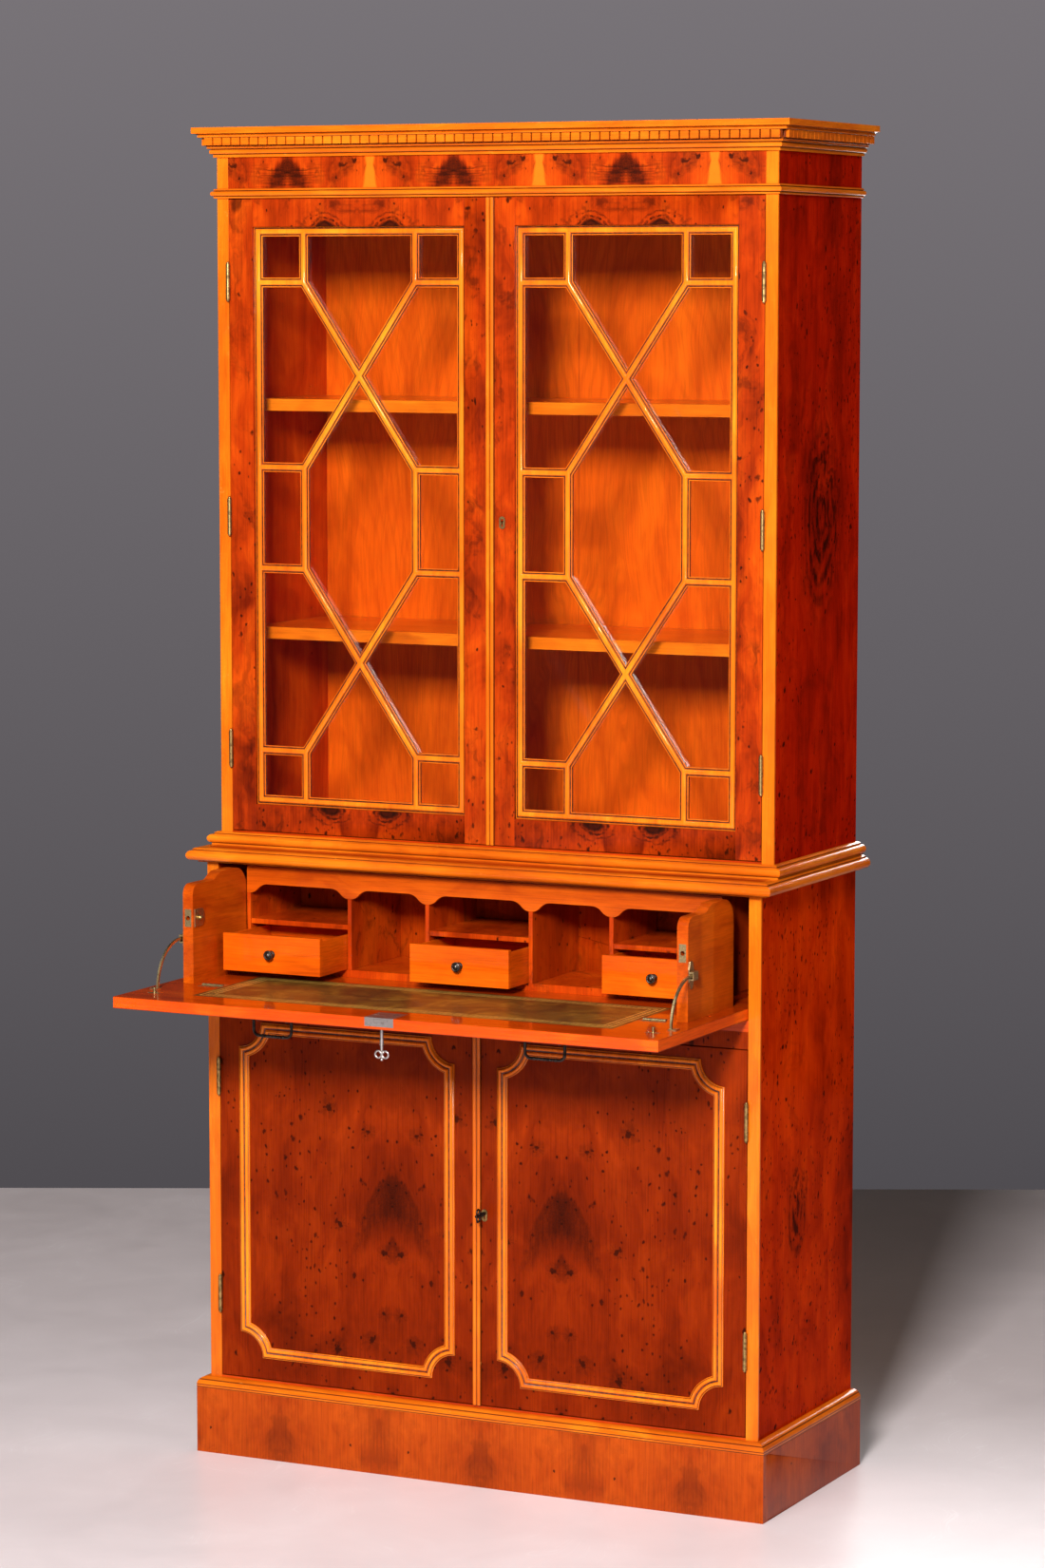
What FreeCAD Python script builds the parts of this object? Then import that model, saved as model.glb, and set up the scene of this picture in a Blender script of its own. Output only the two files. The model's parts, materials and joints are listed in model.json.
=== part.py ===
import FreeCAD, Part
import math
import os
import Sketcher

# Secretary desk: a glazed bookcase over a secretaire drawer and a two-door cupboard.
# Frame: X to the right, +Y to the back, +Z up, origin on the floor at the middle of the plinth.
# The desk stands with its fall open, its secretaire drawer drawn out and its doors shut.

os.makedirs("parts", exist_ok=True)
doc = FreeCAD.newDocument("SecretaryDesk")
Vector = FreeCAD.Vector
Rotation = FreeCAD.Rotation


# ---------------------------------------------------------------- sizes

def value_of(size):
    return size.value if isinstance(size, Size) else float(size)


def text_of(size):
    return size.text if isinstance(size, Size) else f"{float(size):.6f}"


class Size:
    """A length or an angle that carries its value and its spreadsheet expression."""

    def __init__(self, value, text):
        self.value = value
        self.text = text

    def __add__(self, other):
        return Size(self.value + value_of(other), f"({self.text} + {text_of(other)})")

    def __radd__(self, other):
        return Size(value_of(other) + self.value, f"({text_of(other)} + {self.text})")

    def __sub__(self, other):
        return Size(self.value - value_of(other), f"({self.text} - {text_of(other)})")

    def __rsub__(self, other):
        return Size(value_of(other) - self.value, f"({text_of(other)} - {self.text})")

    def __mul__(self, other):
        return Size(self.value * value_of(other), f"({self.text} * {text_of(other)})")

    def __rmul__(self, other):
        return Size(value_of(other) * self.value, f"({text_of(other)} * {self.text})")

    def __truediv__(self, other):
        return Size(self.value / value_of(other), f"({self.text} / {text_of(other)})")

    def __neg__(self):
        return Size(-self.value, f"(0 - {self.text})")


sheet = doc.addObject("Spreadsheet::Sheet", "Dim")
row_count = 0


def dimension(alias, value):
    """Write one driving dimension to the sheet and return it."""
    global row_count
    row_count += 1
    sheet.set(f"A{row_count}", alias)
    sheet.set(f"B{row_count}", str(value))
    sheet.setAlias(f"B{row_count}", alias)
    return Size(float(value), f"Dim.{alias}")


# Case
CASE_HALF = dimension("case_half_width", 454)
INNER_HALF = dimension("inner_half_width", 435)
BACK = dimension("back_plane", 185)
LOWER_FRONT = dimension("lower_front_plane", -169)
UPPER_FRONT = dimension("upper_front_plane", -125)
LIPPING = dimension("lipping_depth", 4)
BACK_THICK = dimension("back_panel_thickness", 8)
PLINTH_HALF = dimension("plinth_half_width", 470)
PLINTH_FRONT = dimension("plinth_front_plane", -185)
PLINTH_TOP = dimension("plinth_top", 100)
PLINTH_CAP = dimension("plinth_cap_height", 16)
FLOOR_TOP = dimension("cupboard_floor_top", 119)
BOARD = dimension("board_thickness", 18)
LOWER_SHELF = dimension("cupboard_shelf_height", 395)
RAIL_LOW = dimension("door_head_rail_bottom", 686)
RAIL_MID = dimension("drawer_rail_bottom", 711)
RAIL_TOP = dimension("drawer_rail_top", 727.6)
RAIL_DEPTH = dimension("rail_depth", 40)
WAIST = dimension("waist_bottom", 906.6)
WAIST_BOARD = dimension("waist_board_height", 21.4)
UPPER_FLOOR_TOP = dimension("bookcase_floor_top", 950)
FRIEZE_LOW = dimension("frieze_bottom", 1896)
CORNICE_LOW = dimension("cornice_bottom", 1956.5)
TOTAL = dimension("total_height", 2000)
FRIEZE_THICK = dimension("frieze_thickness", 18)
SHELF_THICK = dimension("shelf_thickness", 18)
SHELF_UPPER = dimension("upper_shelf_underside", 1581)
SHELF_LOWER = dimension("lower_shelf_underside", 1238)

DENTIL_PITCH = dimension("dentil_pitch", 15.5)

# Doors
DOOR_OUT = dimension("door_outer_edge", 434)
MEET_RIGHT = dimension("right_door_meeting_edge", -5)
MEET_LEFT = dimension("left_door_meeting_edge", 6)
DOOR_THICK = dimension("door_thickness", 20)
GLAZED_LOW = dimension("glazed_door_bottom", 951.5)
GLAZED_TOP = dimension("glazed_door_top", 1894.5)
STILE = dimension("glazed_outer_stile_width", 40)
OPENING_IN = dimension("glazed_opening_inner_edge", 41)
GLAZED_RAIL = dimension("glazed_rail_height", 40.5)
PANEL_LOW = dimension("cupboard_door_bottom", 120.5)
PANEL_TOP = dimension("cupboard_door_top", 684.5)
BAR_WIDTH = dimension("astragal_width", 14)
BAR_SPREAD = dimension("astragal_half_spacing", 93)
BAR_ROW_IN = dimension("astragal_inner_row", 75.5)
BAR_ROW_OUT = dimension("astragal_outer_row", 349)
BAR_SETBACK = dimension("astragal_setback", 2)
GLASS_THICK = dimension("glass_thickness", 3)
HINGE_LONG = dimension("door_hinge_length", 53)
HINGE_PROUD = dimension("door_hinge_proud", 3.4)
LEAF_THICK = dimension("door_hinge_leaf_thickness", 1.5)
LEAF_WIDE = dimension("door_hinge_leaf_width", 16)
MOULD_HALF = dimension("panel_moulding_half_width", 182)
MOULD_LOW = dimension("panel_moulding_bottom", 153)
MOULD_TOP = dimension("panel_moulding_top", 667)
MOULD_WIDE = dimension("panel_moulding_width", 16.5)
MOULD_ARC = dimension("panel_moulding_corner_radius", 38)

# Secretaire drawer
AXIS_Y = dimension("fall_axis_depth", -319.25)
BASE_TOP = dimension("writing_height", 745)
BASE_THICK = dimension("fall_thickness", 17)
BASE_HALF = dimension("fall_half_width", 434)
BASE_BACK = dimension("drawer_back_end", 3)
FALL_FRONT = dimension("fall_front_edge", -475)
SIDE_IN = dimension("drawer_side_inner", 391)
SIDE_OUT = dimension("drawer_side_outer", 408)
GALLERY_FRONT = dimension("gallery_front", -161)
GALLERY_BACK = dimension("gallery_back", -5)
GALLERY_FLOOR = dimension("gallery_floor_top", 756)
GALLERY_TOP = dimension("gallery_top", 903)
GALLERY_HALF = dimension("gallery_half_width", 390)
END_THICK = dimension("gallery_end_thickness", 6)
DIVIDER_A = dimension("inner_divider_centre", 85)
DIVIDER_B = dimension("outer_divider_centre", 215)
DIVIDER = dimension("divider_thickness", 6.5)
VALANCE_THICK = dimension("valance_thickness", 8)
VALANCE_TIP = dimension("valance_tip_height", 862)
VALANCE_CROWN = dimension("valance_crown_height", 876)
PIGEON_SHELF = dimension("pigeonhole_shelf_underside", 815.5)
PIGEON_THICK = dimension("pigeonhole_shelf_thickness", 7.5)
LEATHER_HALF = dimension("leather_half_width", 337)
LEATHER_FRONT = dimension("leather_front_edge", -415)
LEATHER_BACK = dimension("leather_back_edge", -213)
LEATHER_THICK = dimension("leather_thickness", 1.2)
TRAY_LOW = dimension("small_drawer_bottom", 756.5)
TRAY_TOP = dimension("small_drawer_top", 812.5)
TRAY_LONG = dimension("small_drawer_length", 140)

# Fittings
STAY_R = dimension("stay_arc_radius", 66)
STAY_IN = dimension("stay_inner_face", 411)
STAY_THICK = dimension("stay_thickness", 3)
STAY_HALF = dimension("stay_half_width", 2)
STAY_SWEEP = dimension("stay_arc_angle", 102)
FALL_HINGE_IN = dimension("fall_hinge_inner_end", 340)
FALL_HINGE_LONG = dimension("fall_hinge_length", 35)
FALL_KNUCKLE = dimension("fall_hinge_knuckle_radius", 2.6)
STRIKE_X = dimension("strike_pin_across", 399.5)
STRIKE_REACH = dimension("strike_pin_reach", 97)
BAIL_X = dimension("handle_centre", 219)
BAIL_Y = dimension("handle_depth", -387)
BAIL_Z = dimension("handle_pivot_height", 714)
BAIL_HALF = dimension("handle_half_width", 31.1)
BAIL_DROP = dimension("handle_drop", 25)
BAIL_BAR = dimension("handle_bar_radius", 3)
POST_X = dimension("handle_post_offset", 24)
LOCK_WIDE = dimension("door_lock_width", 34)
LOCK_X = dimension("fall_lock_centre", 2)
FALL_KEY_X = dimension("fall_key_across", -4)
FALL_KEY_Y = dimension("fall_key_depth", -455)
DOOR_KEY_X = dimension("door_key_across", 14)
DOOR_KEY_Z = dimension("door_key_height", 410)
UPPER_LOCK_Z = dimension("glazed_lock_height", 1425)
doc.recompute()


# ---------------------------------------------------------------- helpers

# Sketch axes to desk axes: x across and y up, pads towards the front
FACING_FRONT = Rotation(Vector(1, 0, 0), Vector(0, 0, 1), Vector(0, -1, 0), "ZXY")
# Sketch x towards the back and y up, pads towards the right
FACING_RIGHT = Rotation(Vector(0, 1, 0), Vector(0, 0, 1), Vector(1, 0, 0), "ZXY")
# Sketch x towards the left and y up, for a profile at the back end of a left-hand run
RUN_START = Rotation(Vector(-1, 0, 0), Vector(0, 0, 1), Vector(0, 1, 0), "ZXY")
# Sketch x across and y to the front, pads downwards
DOWN_FACING_FRONT = Rotation(Vector(1, 0, 0), Vector(0, -1, 0), Vector(0, 0, -1), "ZXY")
UPRIGHT = Rotation()
ALONG_X = Rotation(Vector(0, 1, 0), 90)
# For turned work: its own Y axis points to the front
TO_FRONT_Y = Rotation(Vector(1, 0, 0), Vector(0, -1, 0), Vector(0, 0, -1), "ZXY")
TO_FRONT = Rotation(Vector(1, 0, 0), 90)
TO_BACK = Rotation(Vector(1, 0, 0), -90)

nodes = []


def place(shape_object, position, rotation=UPRIGHT):
    """Place an object, with each coordinate of its base driven by the sheet."""
    shape_object.Placement = FreeCAD.Placement(Vector(*[value_of(part) for part in position]), rotation)
    for axis, part in zip("xyz", position):
        shape_object.setExpression(f"Placement.Base.{axis}", text_of(part))
    return shape_object


def drive(shape_object, **sizes):
    for name, size in sizes.items():
        setattr(shape_object, name, value_of(size))
        shape_object.setExpression(name, text_of(size))
    return shape_object


def board(name, across, depth, height):
    """A plain board from its low and high limits across, in depth and in height."""
    box = doc.addObject("Part::Box", name)
    drive(box, Length=across[1] - across[0], Width=depth[1] - depth[0], Height=height[1] - height[0])
    return place(box, (across[0], depth[0], height[0]))


def mirrored(side, low, high):
    """Limits of a part on the right (+1) or left (-1) side, given as right-hand limits."""
    return (low, high) if side > 0 else (-high, -low)


def rod(name, radius, length, position, rotation=UPRIGHT):
    cylinder = doc.addObject("Part::Cylinder", name)
    drive(cylinder, Radius=radius, Height=length)
    return place(cylinder, position, rotation)


def ball(name, radius, position):
    sphere = doc.addObject("Part::Sphere", name)
    drive(sphere, Radius=radius)
    return place(sphere, position)


def ring(name, radius, tube, position, rotation=UPRIGHT):
    torus = doc.addObject("Part::Torus", name)
    drive(torus, Radius1=radius, Radius2=tube)
    return place(torus, position, rotation)


def fuse(name, shapes):
    union = doc.addObject("Part::MultiFuse", name)
    union.Shapes = shapes
    return union


def group(name, members):
    compound = doc.addObject("Part::Compound", name)
    compound.Links = members
    return compound


def cut(name, base, tools):
    """Base minus one or more tools."""
    difference = doc.addObject("Part::Cut", name)
    difference.Base = base
    difference.Tool = tools[0] if len(tools) == 1 else fuse(name + "_tools", tools)
    return difference


def node(label, shape_object):
    """Name a finished sub-part and note it for export."""
    shape_object.Label = label
    nodes.append(shape_object)
    return shape_object


def arc_middle(start, end, radius):
    """Middle point of the minor arc; a positive radius turns anticlockwise."""
    chord = Vector(end[0] - start[0], end[1] - start[1], 0)
    half = chord.Length / 2
    rise = abs(radius) - math.sqrt(max(radius * radius - half * half, 0))
    normal = Vector(chord.y, -chord.x, 0).normalize()
    side = 1 if radius > 0 else -1
    return Vector((start[0] + end[0]) / 2, (start[1] + end[1]) / 2, 0) + normal * rise * side


def draw(sketch, corners, closed=True):
    """Draw a loop or an open run. A corner is (x, y) or (x, y, radius of the arc that leaves it)."""
    first = sketch.GeometryCount
    points = [(value_of(corner[0]), value_of(corner[1])) for corner in corners]
    count = len(corners) if closed else len(corners) - 1
    ends = []
    for index in range(count):
        start = points[index]
        end = points[(index + 1) % len(points)]
        if len(corners[index]) == 3:
            radius = value_of(corners[index][2])
            edge = Part.Arc(Vector(*start, 0), arc_middle(start, end, radius), Vector(*end, 0))
            ends.append((1, 2) if radius > 0 else (2, 1))
        else:
            edge = Part.LineSegment(Vector(*start, 0), Vector(*end, 0))
            ends.append((1, 2))
        sketch.addGeometry(edge, False)
    links = count if closed else count - 1
    for index in range(links):
        following = (index + 1) % count
        joint = Sketcher.Constraint("Coincident", first + index, ends[index][1],
                                    first + following, ends[following][0])
        sketch.addConstraint(joint)
    for index, corner in enumerate(corners):
        edge_index, end_index = (index, 0) if index < count else (count - 1, 1)
        for kind, size, value in (("DistanceX", corner[0], points[index][0]),
                                  ("DistanceY", corner[1], points[index][1])):
            number = sketch.addConstraint(
                Sketcher.Constraint(kind, -1, 1, first + edge_index, ends[edge_index][end_index], value))
            sketch.setExpression(f"Constraints[{number}]", text_of(size))
        if len(corner) == 3:
            radius = corner[2] if value_of(corner[2]) > 0 else -corner[2]
            number = sketch.addConstraint(Sketcher.Constraint("Radius", first + index, value_of(radius)))
            sketch.setExpression(f"Constraints[{number}]", text_of(radius))
    return sketch


def new_body(name):
    """A body with an empty sketch on its own XY plane."""
    body = doc.addObject("PartDesign::Body", name)
    sketch = body.newObject("Sketcher::SketchObject", name + "_sketch")
    plane = [item for item in body.Origin.OriginFeatures if item.Role == "XY_Plane"][0]
    sketch.AttachmentSupport = [(plane, "")]
    sketch.MapMode = "FlatFace"
    return body, sketch


def padded(name, loops, length, position, rotation=UPRIGHT):
    """A body padded from one or more closed loops."""
    body, sketch = new_body(name)
    for loop in loops:
        draw(sketch, loop)
    pad = body.newObject("PartDesign::Pad", name + "_pad")
    pad.Profile = sketch
    drive(pad, Length=length)
    body.Tip = pad
    return place(body, position, rotation)


def turned(name, loop, position, rotation=UPRIGHT):
    """A body turned about its own Y axis."""
    body, sketch = new_body(name)
    draw(sketch, loop)
    turning = body.newObject("PartDesign::Revolution", name + "_turning")
    turning.Profile = sketch
    turning.ReferenceAxis = (sketch, ["V_Axis"])
    turning.Angle = 360
    body.Tip = turning
    return place(body, position, rotation)


def loose_sketch(name, corners, closed, position, rotation=UPRIGHT):
    sketch = doc.addObject("Sketcher::SketchObject", name)
    draw(sketch, corners, closed)
    return place(sketch, position, rotation)


def swept(name, profile, spine, edge_count):
    sweep = doc.addObject("Part::Sweep", name)
    sweep.Sections = [profile]
    sweep.Spine = (spine, [f"Edge{index + 1}" for index in range(edge_count)])
    sweep.Solid = True
    sweep.Frenet = False
    sweep.Transition = "Right corner"
    return sweep


def moulding(name, section, half_width, front, base):
    """A moulding mitred round the left side, the front and the right side of a case."""
    run = [(-half_width, BACK), (-half_width, front), (half_width, front), (half_width, BACK)]
    spine = loose_sketch(name + "_run", run, False, (0, 0, base))
    profile = loose_sketch(name + "_section", section, True, (-half_width, BACK, base), RUN_START)
    return swept(name, profile, spine, 3)


# ---------------------------------------------------------------- case

def build_plinth():
    inner = CASE_HALF
    members = [board("plinth_front_board", (-PLINTH_HALF, PLINTH_HALF), (PLINTH_FRONT, LOWER_FRONT),
                     (0, PLINTH_TOP))]
    for side, word in ((1, "right"), (-1, "left")):
        members.append(board(f"plinth_{word}_board", mirrored(side, inner, PLINTH_HALF),
                             (LOWER_FRONT, BACK), (0, PLINTH_TOP)))
    members.append(board("plinth_bearer", (-30, 30), (LOWER_FRONT, BACK - BACK_THICK), (0, PLINTH_TOP)))
    node("plinth", group("plinth", members))
    section = [(0, 0), (16, 0), (16, 5, 12), (5, PLINTH_CAP), (0, PLINTH_CAP)]
    node("plinth_cap", moulding("plinth_cap", section, CASE_HALF, LOWER_FRONT, PLINTH_TOP))


def hinge_heights():
    upper = (GLAZED_LOW + GLAZED_TOP) / 2
    lower = (PANEL_LOW + MOULD_TOP + 38) / 2
    return {"glazed": (upper - 348, upper + 1, upper + 350), "cupboard": (lower - 166.5, lower + 168)}


def leaf_mortises(name, side, front, levels, inner_face):
    """Shallow boxes that let hinge leaves into a vertical edge."""
    return [board(f"{name}_mortise{index}", mirrored(side, inner_face, inner_face + LEAF_THICK),
                  (front, front + LEAF_WIDE), (level - HINGE_LONG / 2, level + HINGE_LONG / 2))
            for index, level in enumerate(levels)]


def pin_positions():
    """Depth and height of each shelf pin on one side: two columns for each loose shelf."""
    return [(depth, underside - 2.5) for underside in (SHELF_UPPER, SHELF_LOWER)
            for depth in (UPPER_FRONT + 85, BACK - 60)]


def pin_holes(name, side):
    """Three holes for each pin, one above another, so that a shelf can be moved."""
    start = INNER_HALF - 1 if side > 0 else -INNER_HALF - 4
    return [rod(f"{name}_pin_hole", 2.5, 5, (start, depth, level + step), ALONG_X)
            for depth, level in pin_positions() for step in (-35, 0, 35)]


def build_case_sides():
    levels = hinge_heights()
    lower_sides = []
    upper_sides = []
    lippings = []
    for side, word in ((1, "right"), (-1, "left")):
        span = mirrored(side, INNER_HALF, CASE_HALF)
        lower = board(f"lower_{word}_board", span, (LOWER_FRONT + LIPPING, BACK), (0, WAIST))
        lower_sides.append(cut(f"lower_{word}_side", lower,
                               leaf_mortises(f"lower_{word}", side, LOWER_FRONT, levels["cupboard"],
                                             INNER_HALF)))
        upper = board(f"upper_{word}_board", span, (UPPER_FRONT + LIPPING, BACK),
                      (WAIST + WAIST_BOARD, TOTAL - 15))
        upper_sides.append(cut(f"upper_{word}_side", upper,
                               leaf_mortises(f"upper_{word}", side, UPPER_FRONT, levels["glazed"],
                                             INNER_HALF) + pin_holes(word, side)))
        for storey, front, limits in (("lower", LOWER_FRONT, (PLINTH_TOP, WAIST)),
                                      ("upper", UPPER_FRONT, (WAIST + WAIST_BOARD, TOTAL - 15))):
            kind = "cupboard" if storey == "lower" else "glazed"
            strip = board(f"{storey}_{word}_lipping_strip", span, (front, front + LIPPING), limits)
            lippings.append(cut(f"{storey}_{word}_lipping", strip,
                                leaf_mortises(f"{storey}_{word}_lip", side, front, levels[kind],
                                              INNER_HALF)))
    node("lower_sides", group("lower_sides", lower_sides))
    node("upper_sides", group("upper_sides", upper_sides))
    node("front_lippings", group("front_lippings", lippings))


def build_case_boards():
    inside = (-INNER_HALF, INNER_HALF)
    back = BACK - BACK_THICK
    floor = board("cupboard_floor", inside, (LOWER_FRONT, back), (FLOOR_TOP - BOARD, FLOOR_TOP))
    shelf = board("cupboard_shelf", inside, (LOWER_FRONT + 45, back), (LOWER_SHELF, LOWER_SHELF + BOARD))
    runners = [board(f"drawer_{word}_runner", mirrored(side, INNER_HALF - 40, INNER_HALF),
                     (LOWER_FRONT + RAIL_DEPTH, back), (RAIL_MID, RAIL_TOP))
               for side, word in ((1, "right"), (-1, "left"))]
    waist_blank = board("waist_blank", (-CASE_HALF, CASE_HALF), (LOWER_FRONT, BACK),
                        (WAIST, WAIST + WAIST_BOARD))
    strike = board("waist_strike_mortise", (LOCK_X - 9, LOCK_X + 9), (LOWER_FRONT + 8, LOWER_FRONT + 18),
                   (WAIST - 1, WAIST + 10))
    waist = cut("waist_board", waist_blank, [strike])
    upper_floor = board("bookcase_floor", inside, (UPPER_FRONT, back),
                        (WAIST + WAIST_BOARD, UPPER_FLOOR_TOP))
    top = board("bookcase_top", (-CASE_HALF, CASE_HALF), (UPPER_FRONT, BACK), (TOTAL - 15, TOTAL))
    node("case_boards", group("case_boards", [floor, shelf] + runners + [waist, upper_floor, top]))
    backs = [board("lower_back", inside, (back, BACK), (60, WAIST)),
             board("upper_left_back", (-INNER_HALF, 0), (back, BACK), (WAIST + WAIST_BOARD, TOTAL - 15)),
             board("upper_right_back", (0, INNER_HALF), (back, BACK), (WAIST + WAIST_BOARD, TOTAL - 15))]
    node("back_panels", group("back_panels", backs))
    node("drawer_rail", board("drawer_rail", inside, (LOWER_FRONT, LOWER_FRONT + RAIL_DEPTH),
                              (RAIL_MID, RAIL_TOP)))
    node("door_head_rail", board("door_head_rail", inside, (LOWER_FRONT, LOWER_FRONT + DOOR_THICK),
                                 (RAIL_LOW, RAIL_MID)))


def build_waist():
    lower_section = [(0, 0), (10, 0), (10, 3), (18.5, 3, 7.6), (18.5, 17.5), (16, 17.5), (16, 20),
                     (13, WAIST_BOARD), (0, WAIST_BOARD)]
    upper_section = [(0, 0), (11, 0), (11, 3.2), (12, 3.2, 6.4), (12, 15.5), (8, 15.5), (8, 18.2),
                     (5, 19.7), (0, 19.7)]
    lower = moulding("waist_lower_moulding", lower_section, CASE_HALF, LOWER_FRONT, WAIST)
    upper = moulding("waist_upper_moulding", upper_section, CASE_HALF, UPPER_FRONT, WAIST + WAIST_BOARD)
    node("waist_moulding", group("waist_moulding", [lower, upper]))


def dentil_strip(name, length, position, rotation):
    """A backing strip with a row of dentils, long in its own X and facing its own Z."""
    count = round(value_of(length) / value_of(DENTIL_PITCH))
    pitch = length / count
    body, sketch = new_body(name)
    draw(sketch, [(0, 0), (length, 0), (length, 11), (0, 11)])
    backing = body.newObject("PartDesign::Pad", name + "_backing")
    backing.Profile = sketch
    backing.Length = 3
    tooth_sketch = body.newObject("Sketcher::SketchObject", name + "_tooth_sketch")
    tooth_sketch.AttachmentSupport = [(sketch.AttachmentSupport[0][0], "")]
    tooth_sketch.MapMode = "FlatFace"
    draw(tooth_sketch, [(1.2, 0), (14.2, 0), (14.2, 11), (1.2, 11)])
    tooth = body.newObject("PartDesign::Pad", name + "_tooth")
    tooth.Profile = tooth_sketch
    tooth.Length = 9
    doc.recompute()
    pattern = body.newObject("PartDesign::LinearPattern", name + "_row")
    pattern.Originals = [tooth]
    pattern.Direction = (tooth_sketch, ["H_Axis"])
    pattern.Occurrences = count
    pattern.Length = pitch.value * (count - 1)
    pattern.setExpression("Length", f"{pitch.text} * {count - 1}")
    body.Tip = pattern
    return place(body, position, rotation)


def build_head():
    node("frieze", board("frieze", (-INNER_HALF, INNER_HALF), (UPPER_FRONT, UPPER_FRONT + FRIEZE_THICK),
                         (FRIEZE_LOW, TOTAL - 15)))
    frieze_section = [(0, 0), (3, 0, 1.6), (3, 3), (5.2, 3.4, 3.7), (5.2, 10.4), (3, 10.8, 1.6),
                      (3, 13.8), (0, 14.6)]
    node("frieze_moulding", moulding("frieze_moulding", frieze_section, CASE_HALF, UPPER_FRONT, FRIEZE_LOW))
    cornice_section = [(0, 0), (4, 0), (4, 4.5), (6, 4.5, 3.7), (6, 11.5), (8, 12.2), (10, 12.2, 1.4),
                       (10, 14.8), (11, 15, 1.3), (11, 17.4), (11, 28.4), (20, 28.6, 2.1), (20, 32.4),
                       (25, 34.5), (28, 34.5), (28, 43.5), (0, 43.5)]
    node("cornice", moulding("cornice", cornice_section, CASE_HALF, UPPER_FRONT, CORNICE_LOW))
    level = CORNICE_LOW + 17.4
    reach = CASE_HALF + 11
    front = UPPER_FRONT - 11
    front_row = dentil_strip("front_dentils", reach * 2, (-reach, front, level), FACING_FRONT)
    depth = BACK - front
    right_row = dentil_strip("right_dentils", depth, (reach, front, level), FACING_RIGHT)
    left_view = Rotation(Vector(0, -1, 0), Vector(0, 0, 1), Vector(-1, 0, 0), "ZXY")
    left_row = dentil_strip("left_dentils", depth, (-reach, BACK, level), left_view)
    node("dentils", group("dentils", [front_row, right_row, left_row]))


def build_shelves():
    shelves = []
    pins = []
    for word, underside in (("upper", SHELF_UPPER), ("lower", SHELF_LOWER)):
        shelves.append(board(f"{word}_loose_shelf", (-INNER_HALF + 1.5, INNER_HALF - 1.5),
                             (UPPER_FRONT + 50, BACK - BACK_THICK - 2), (underside, underside + SHELF_THICK)))
    for side in (1, -1):
        start = INNER_HALF - 11 if side > 0 else -INNER_HALF - 3
        for depth, level in pin_positions():
            pins.append(rod("shelf_pin", 2.5, 14, (start, depth, level), ALONG_X))
    node("bookcase_shelves", group("bookcase_shelves", shelves))
    node("shelf_pins", group("shelf_pins", pins))


# ---------------------------------------------------------------- door hinges

def knuckle_axis(side, front):
    return side * (INNER_HALF + DOOR_OUT) / 2, front - HINGE_PROUD - 0.1


def meeting_edge(side):
    """Where a door's meeting edge stands, as a right-hand coordinate."""
    return MEET_RIGHT if side > 0 else MEET_LEFT


def door_half_hinge(name, side, front, level):
    """The leaf let into the door and the middle barrel, bored for the pin."""
    across, depth = knuckle_axis(side, front)
    leaf = board(name + "_leaf", mirrored(side, DOOR_OUT - LEAF_THICK, DOOR_OUT),
                 (front - HINGE_PROUD, front + LEAF_WIDE - 0.5),
                 (level - HINGE_LONG / 6 + 0.3, level + HINGE_LONG / 6 - 0.3))
    wing = board(name + "_wing", mirrored(side, DOOR_OUT - LEAF_THICK, DOOR_OUT),
                 (front + 0.3, front + LEAF_WIDE - 0.5), (level - HINGE_LONG / 2, level + HINGE_LONG / 2))
    barrel = rod(name + "_barrel", HINGE_PROUD - 0.2, HINGE_LONG / 3 - 0.6,
                 (across, depth, level - HINGE_LONG / 6 + 0.3))
    bore = rod(name + "_bore", 1.25, HINGE_LONG, (across, depth, level - HINGE_LONG / 2))
    return cut(name, fuse(name + "_blank", [leaf, wing, barrel]), [bore])


def case_half_hinge(name, side, front, level):
    """The leaf let into the case side, two end barrels with ball tips, and the pin."""
    across, depth = knuckle_axis(side, front)
    members = [board(name + "_wing", mirrored(side, INNER_HALF, INNER_HALF + LEAF_THICK),
                     (front + 0.3, front + LEAF_WIDE - 0.5),
                     (level - HINGE_LONG / 2, level + HINGE_LONG / 2)),
               rod(name + "_pin", 1.2, HINGE_LONG, (across, depth, level - HINGE_LONG / 2))]
    for end in (1, -1):
        low = level + HINGE_LONG / 6 if end > 0 else level - HINGE_LONG / 2
        members.append(rod(f"{name}_barrel{end + 1}", HINGE_PROUD - 0.2, HINGE_LONG / 3,
                           (across, depth, low)))
        members.append(board(f"{name}_web{end + 1}", mirrored(side, INNER_HALF, INNER_HALF + LEAF_THICK),
                             (front - HINGE_PROUD, front + 1), (low, low + HINGE_LONG / 3)))
        members.append(ball(f"{name}_tip{end + 1}", 2.4, (across, depth, level + end * (HINGE_LONG / 2 + 1))))
    return fuse(name, members)


def build_case_hinges():
    halves = []
    for kind, front in (("glazed", UPPER_FRONT), ("cupboard", LOWER_FRONT)):
        for side, word in ((1, "right"), (-1, "left")):
            for index, level in enumerate(hinge_heights()[kind]):
                halves.append(case_half_hinge(f"{kind}_{word}_case_hinge{index}", side, front, level))
    node("case_hinges", group("case_hinges", halves))


# ---------------------------------------------------------------- glazed doors

def astragal_section():
    outline = [(-BAR_WIDTH / 2, 0), (BAR_WIDTH / 2, 0), (BAR_WIDTH / 2, 4), (4.4, 5, 5.2), (-4.4, 5),
               (-BAR_WIDTH / 2, 4)]
    return outline


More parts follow.
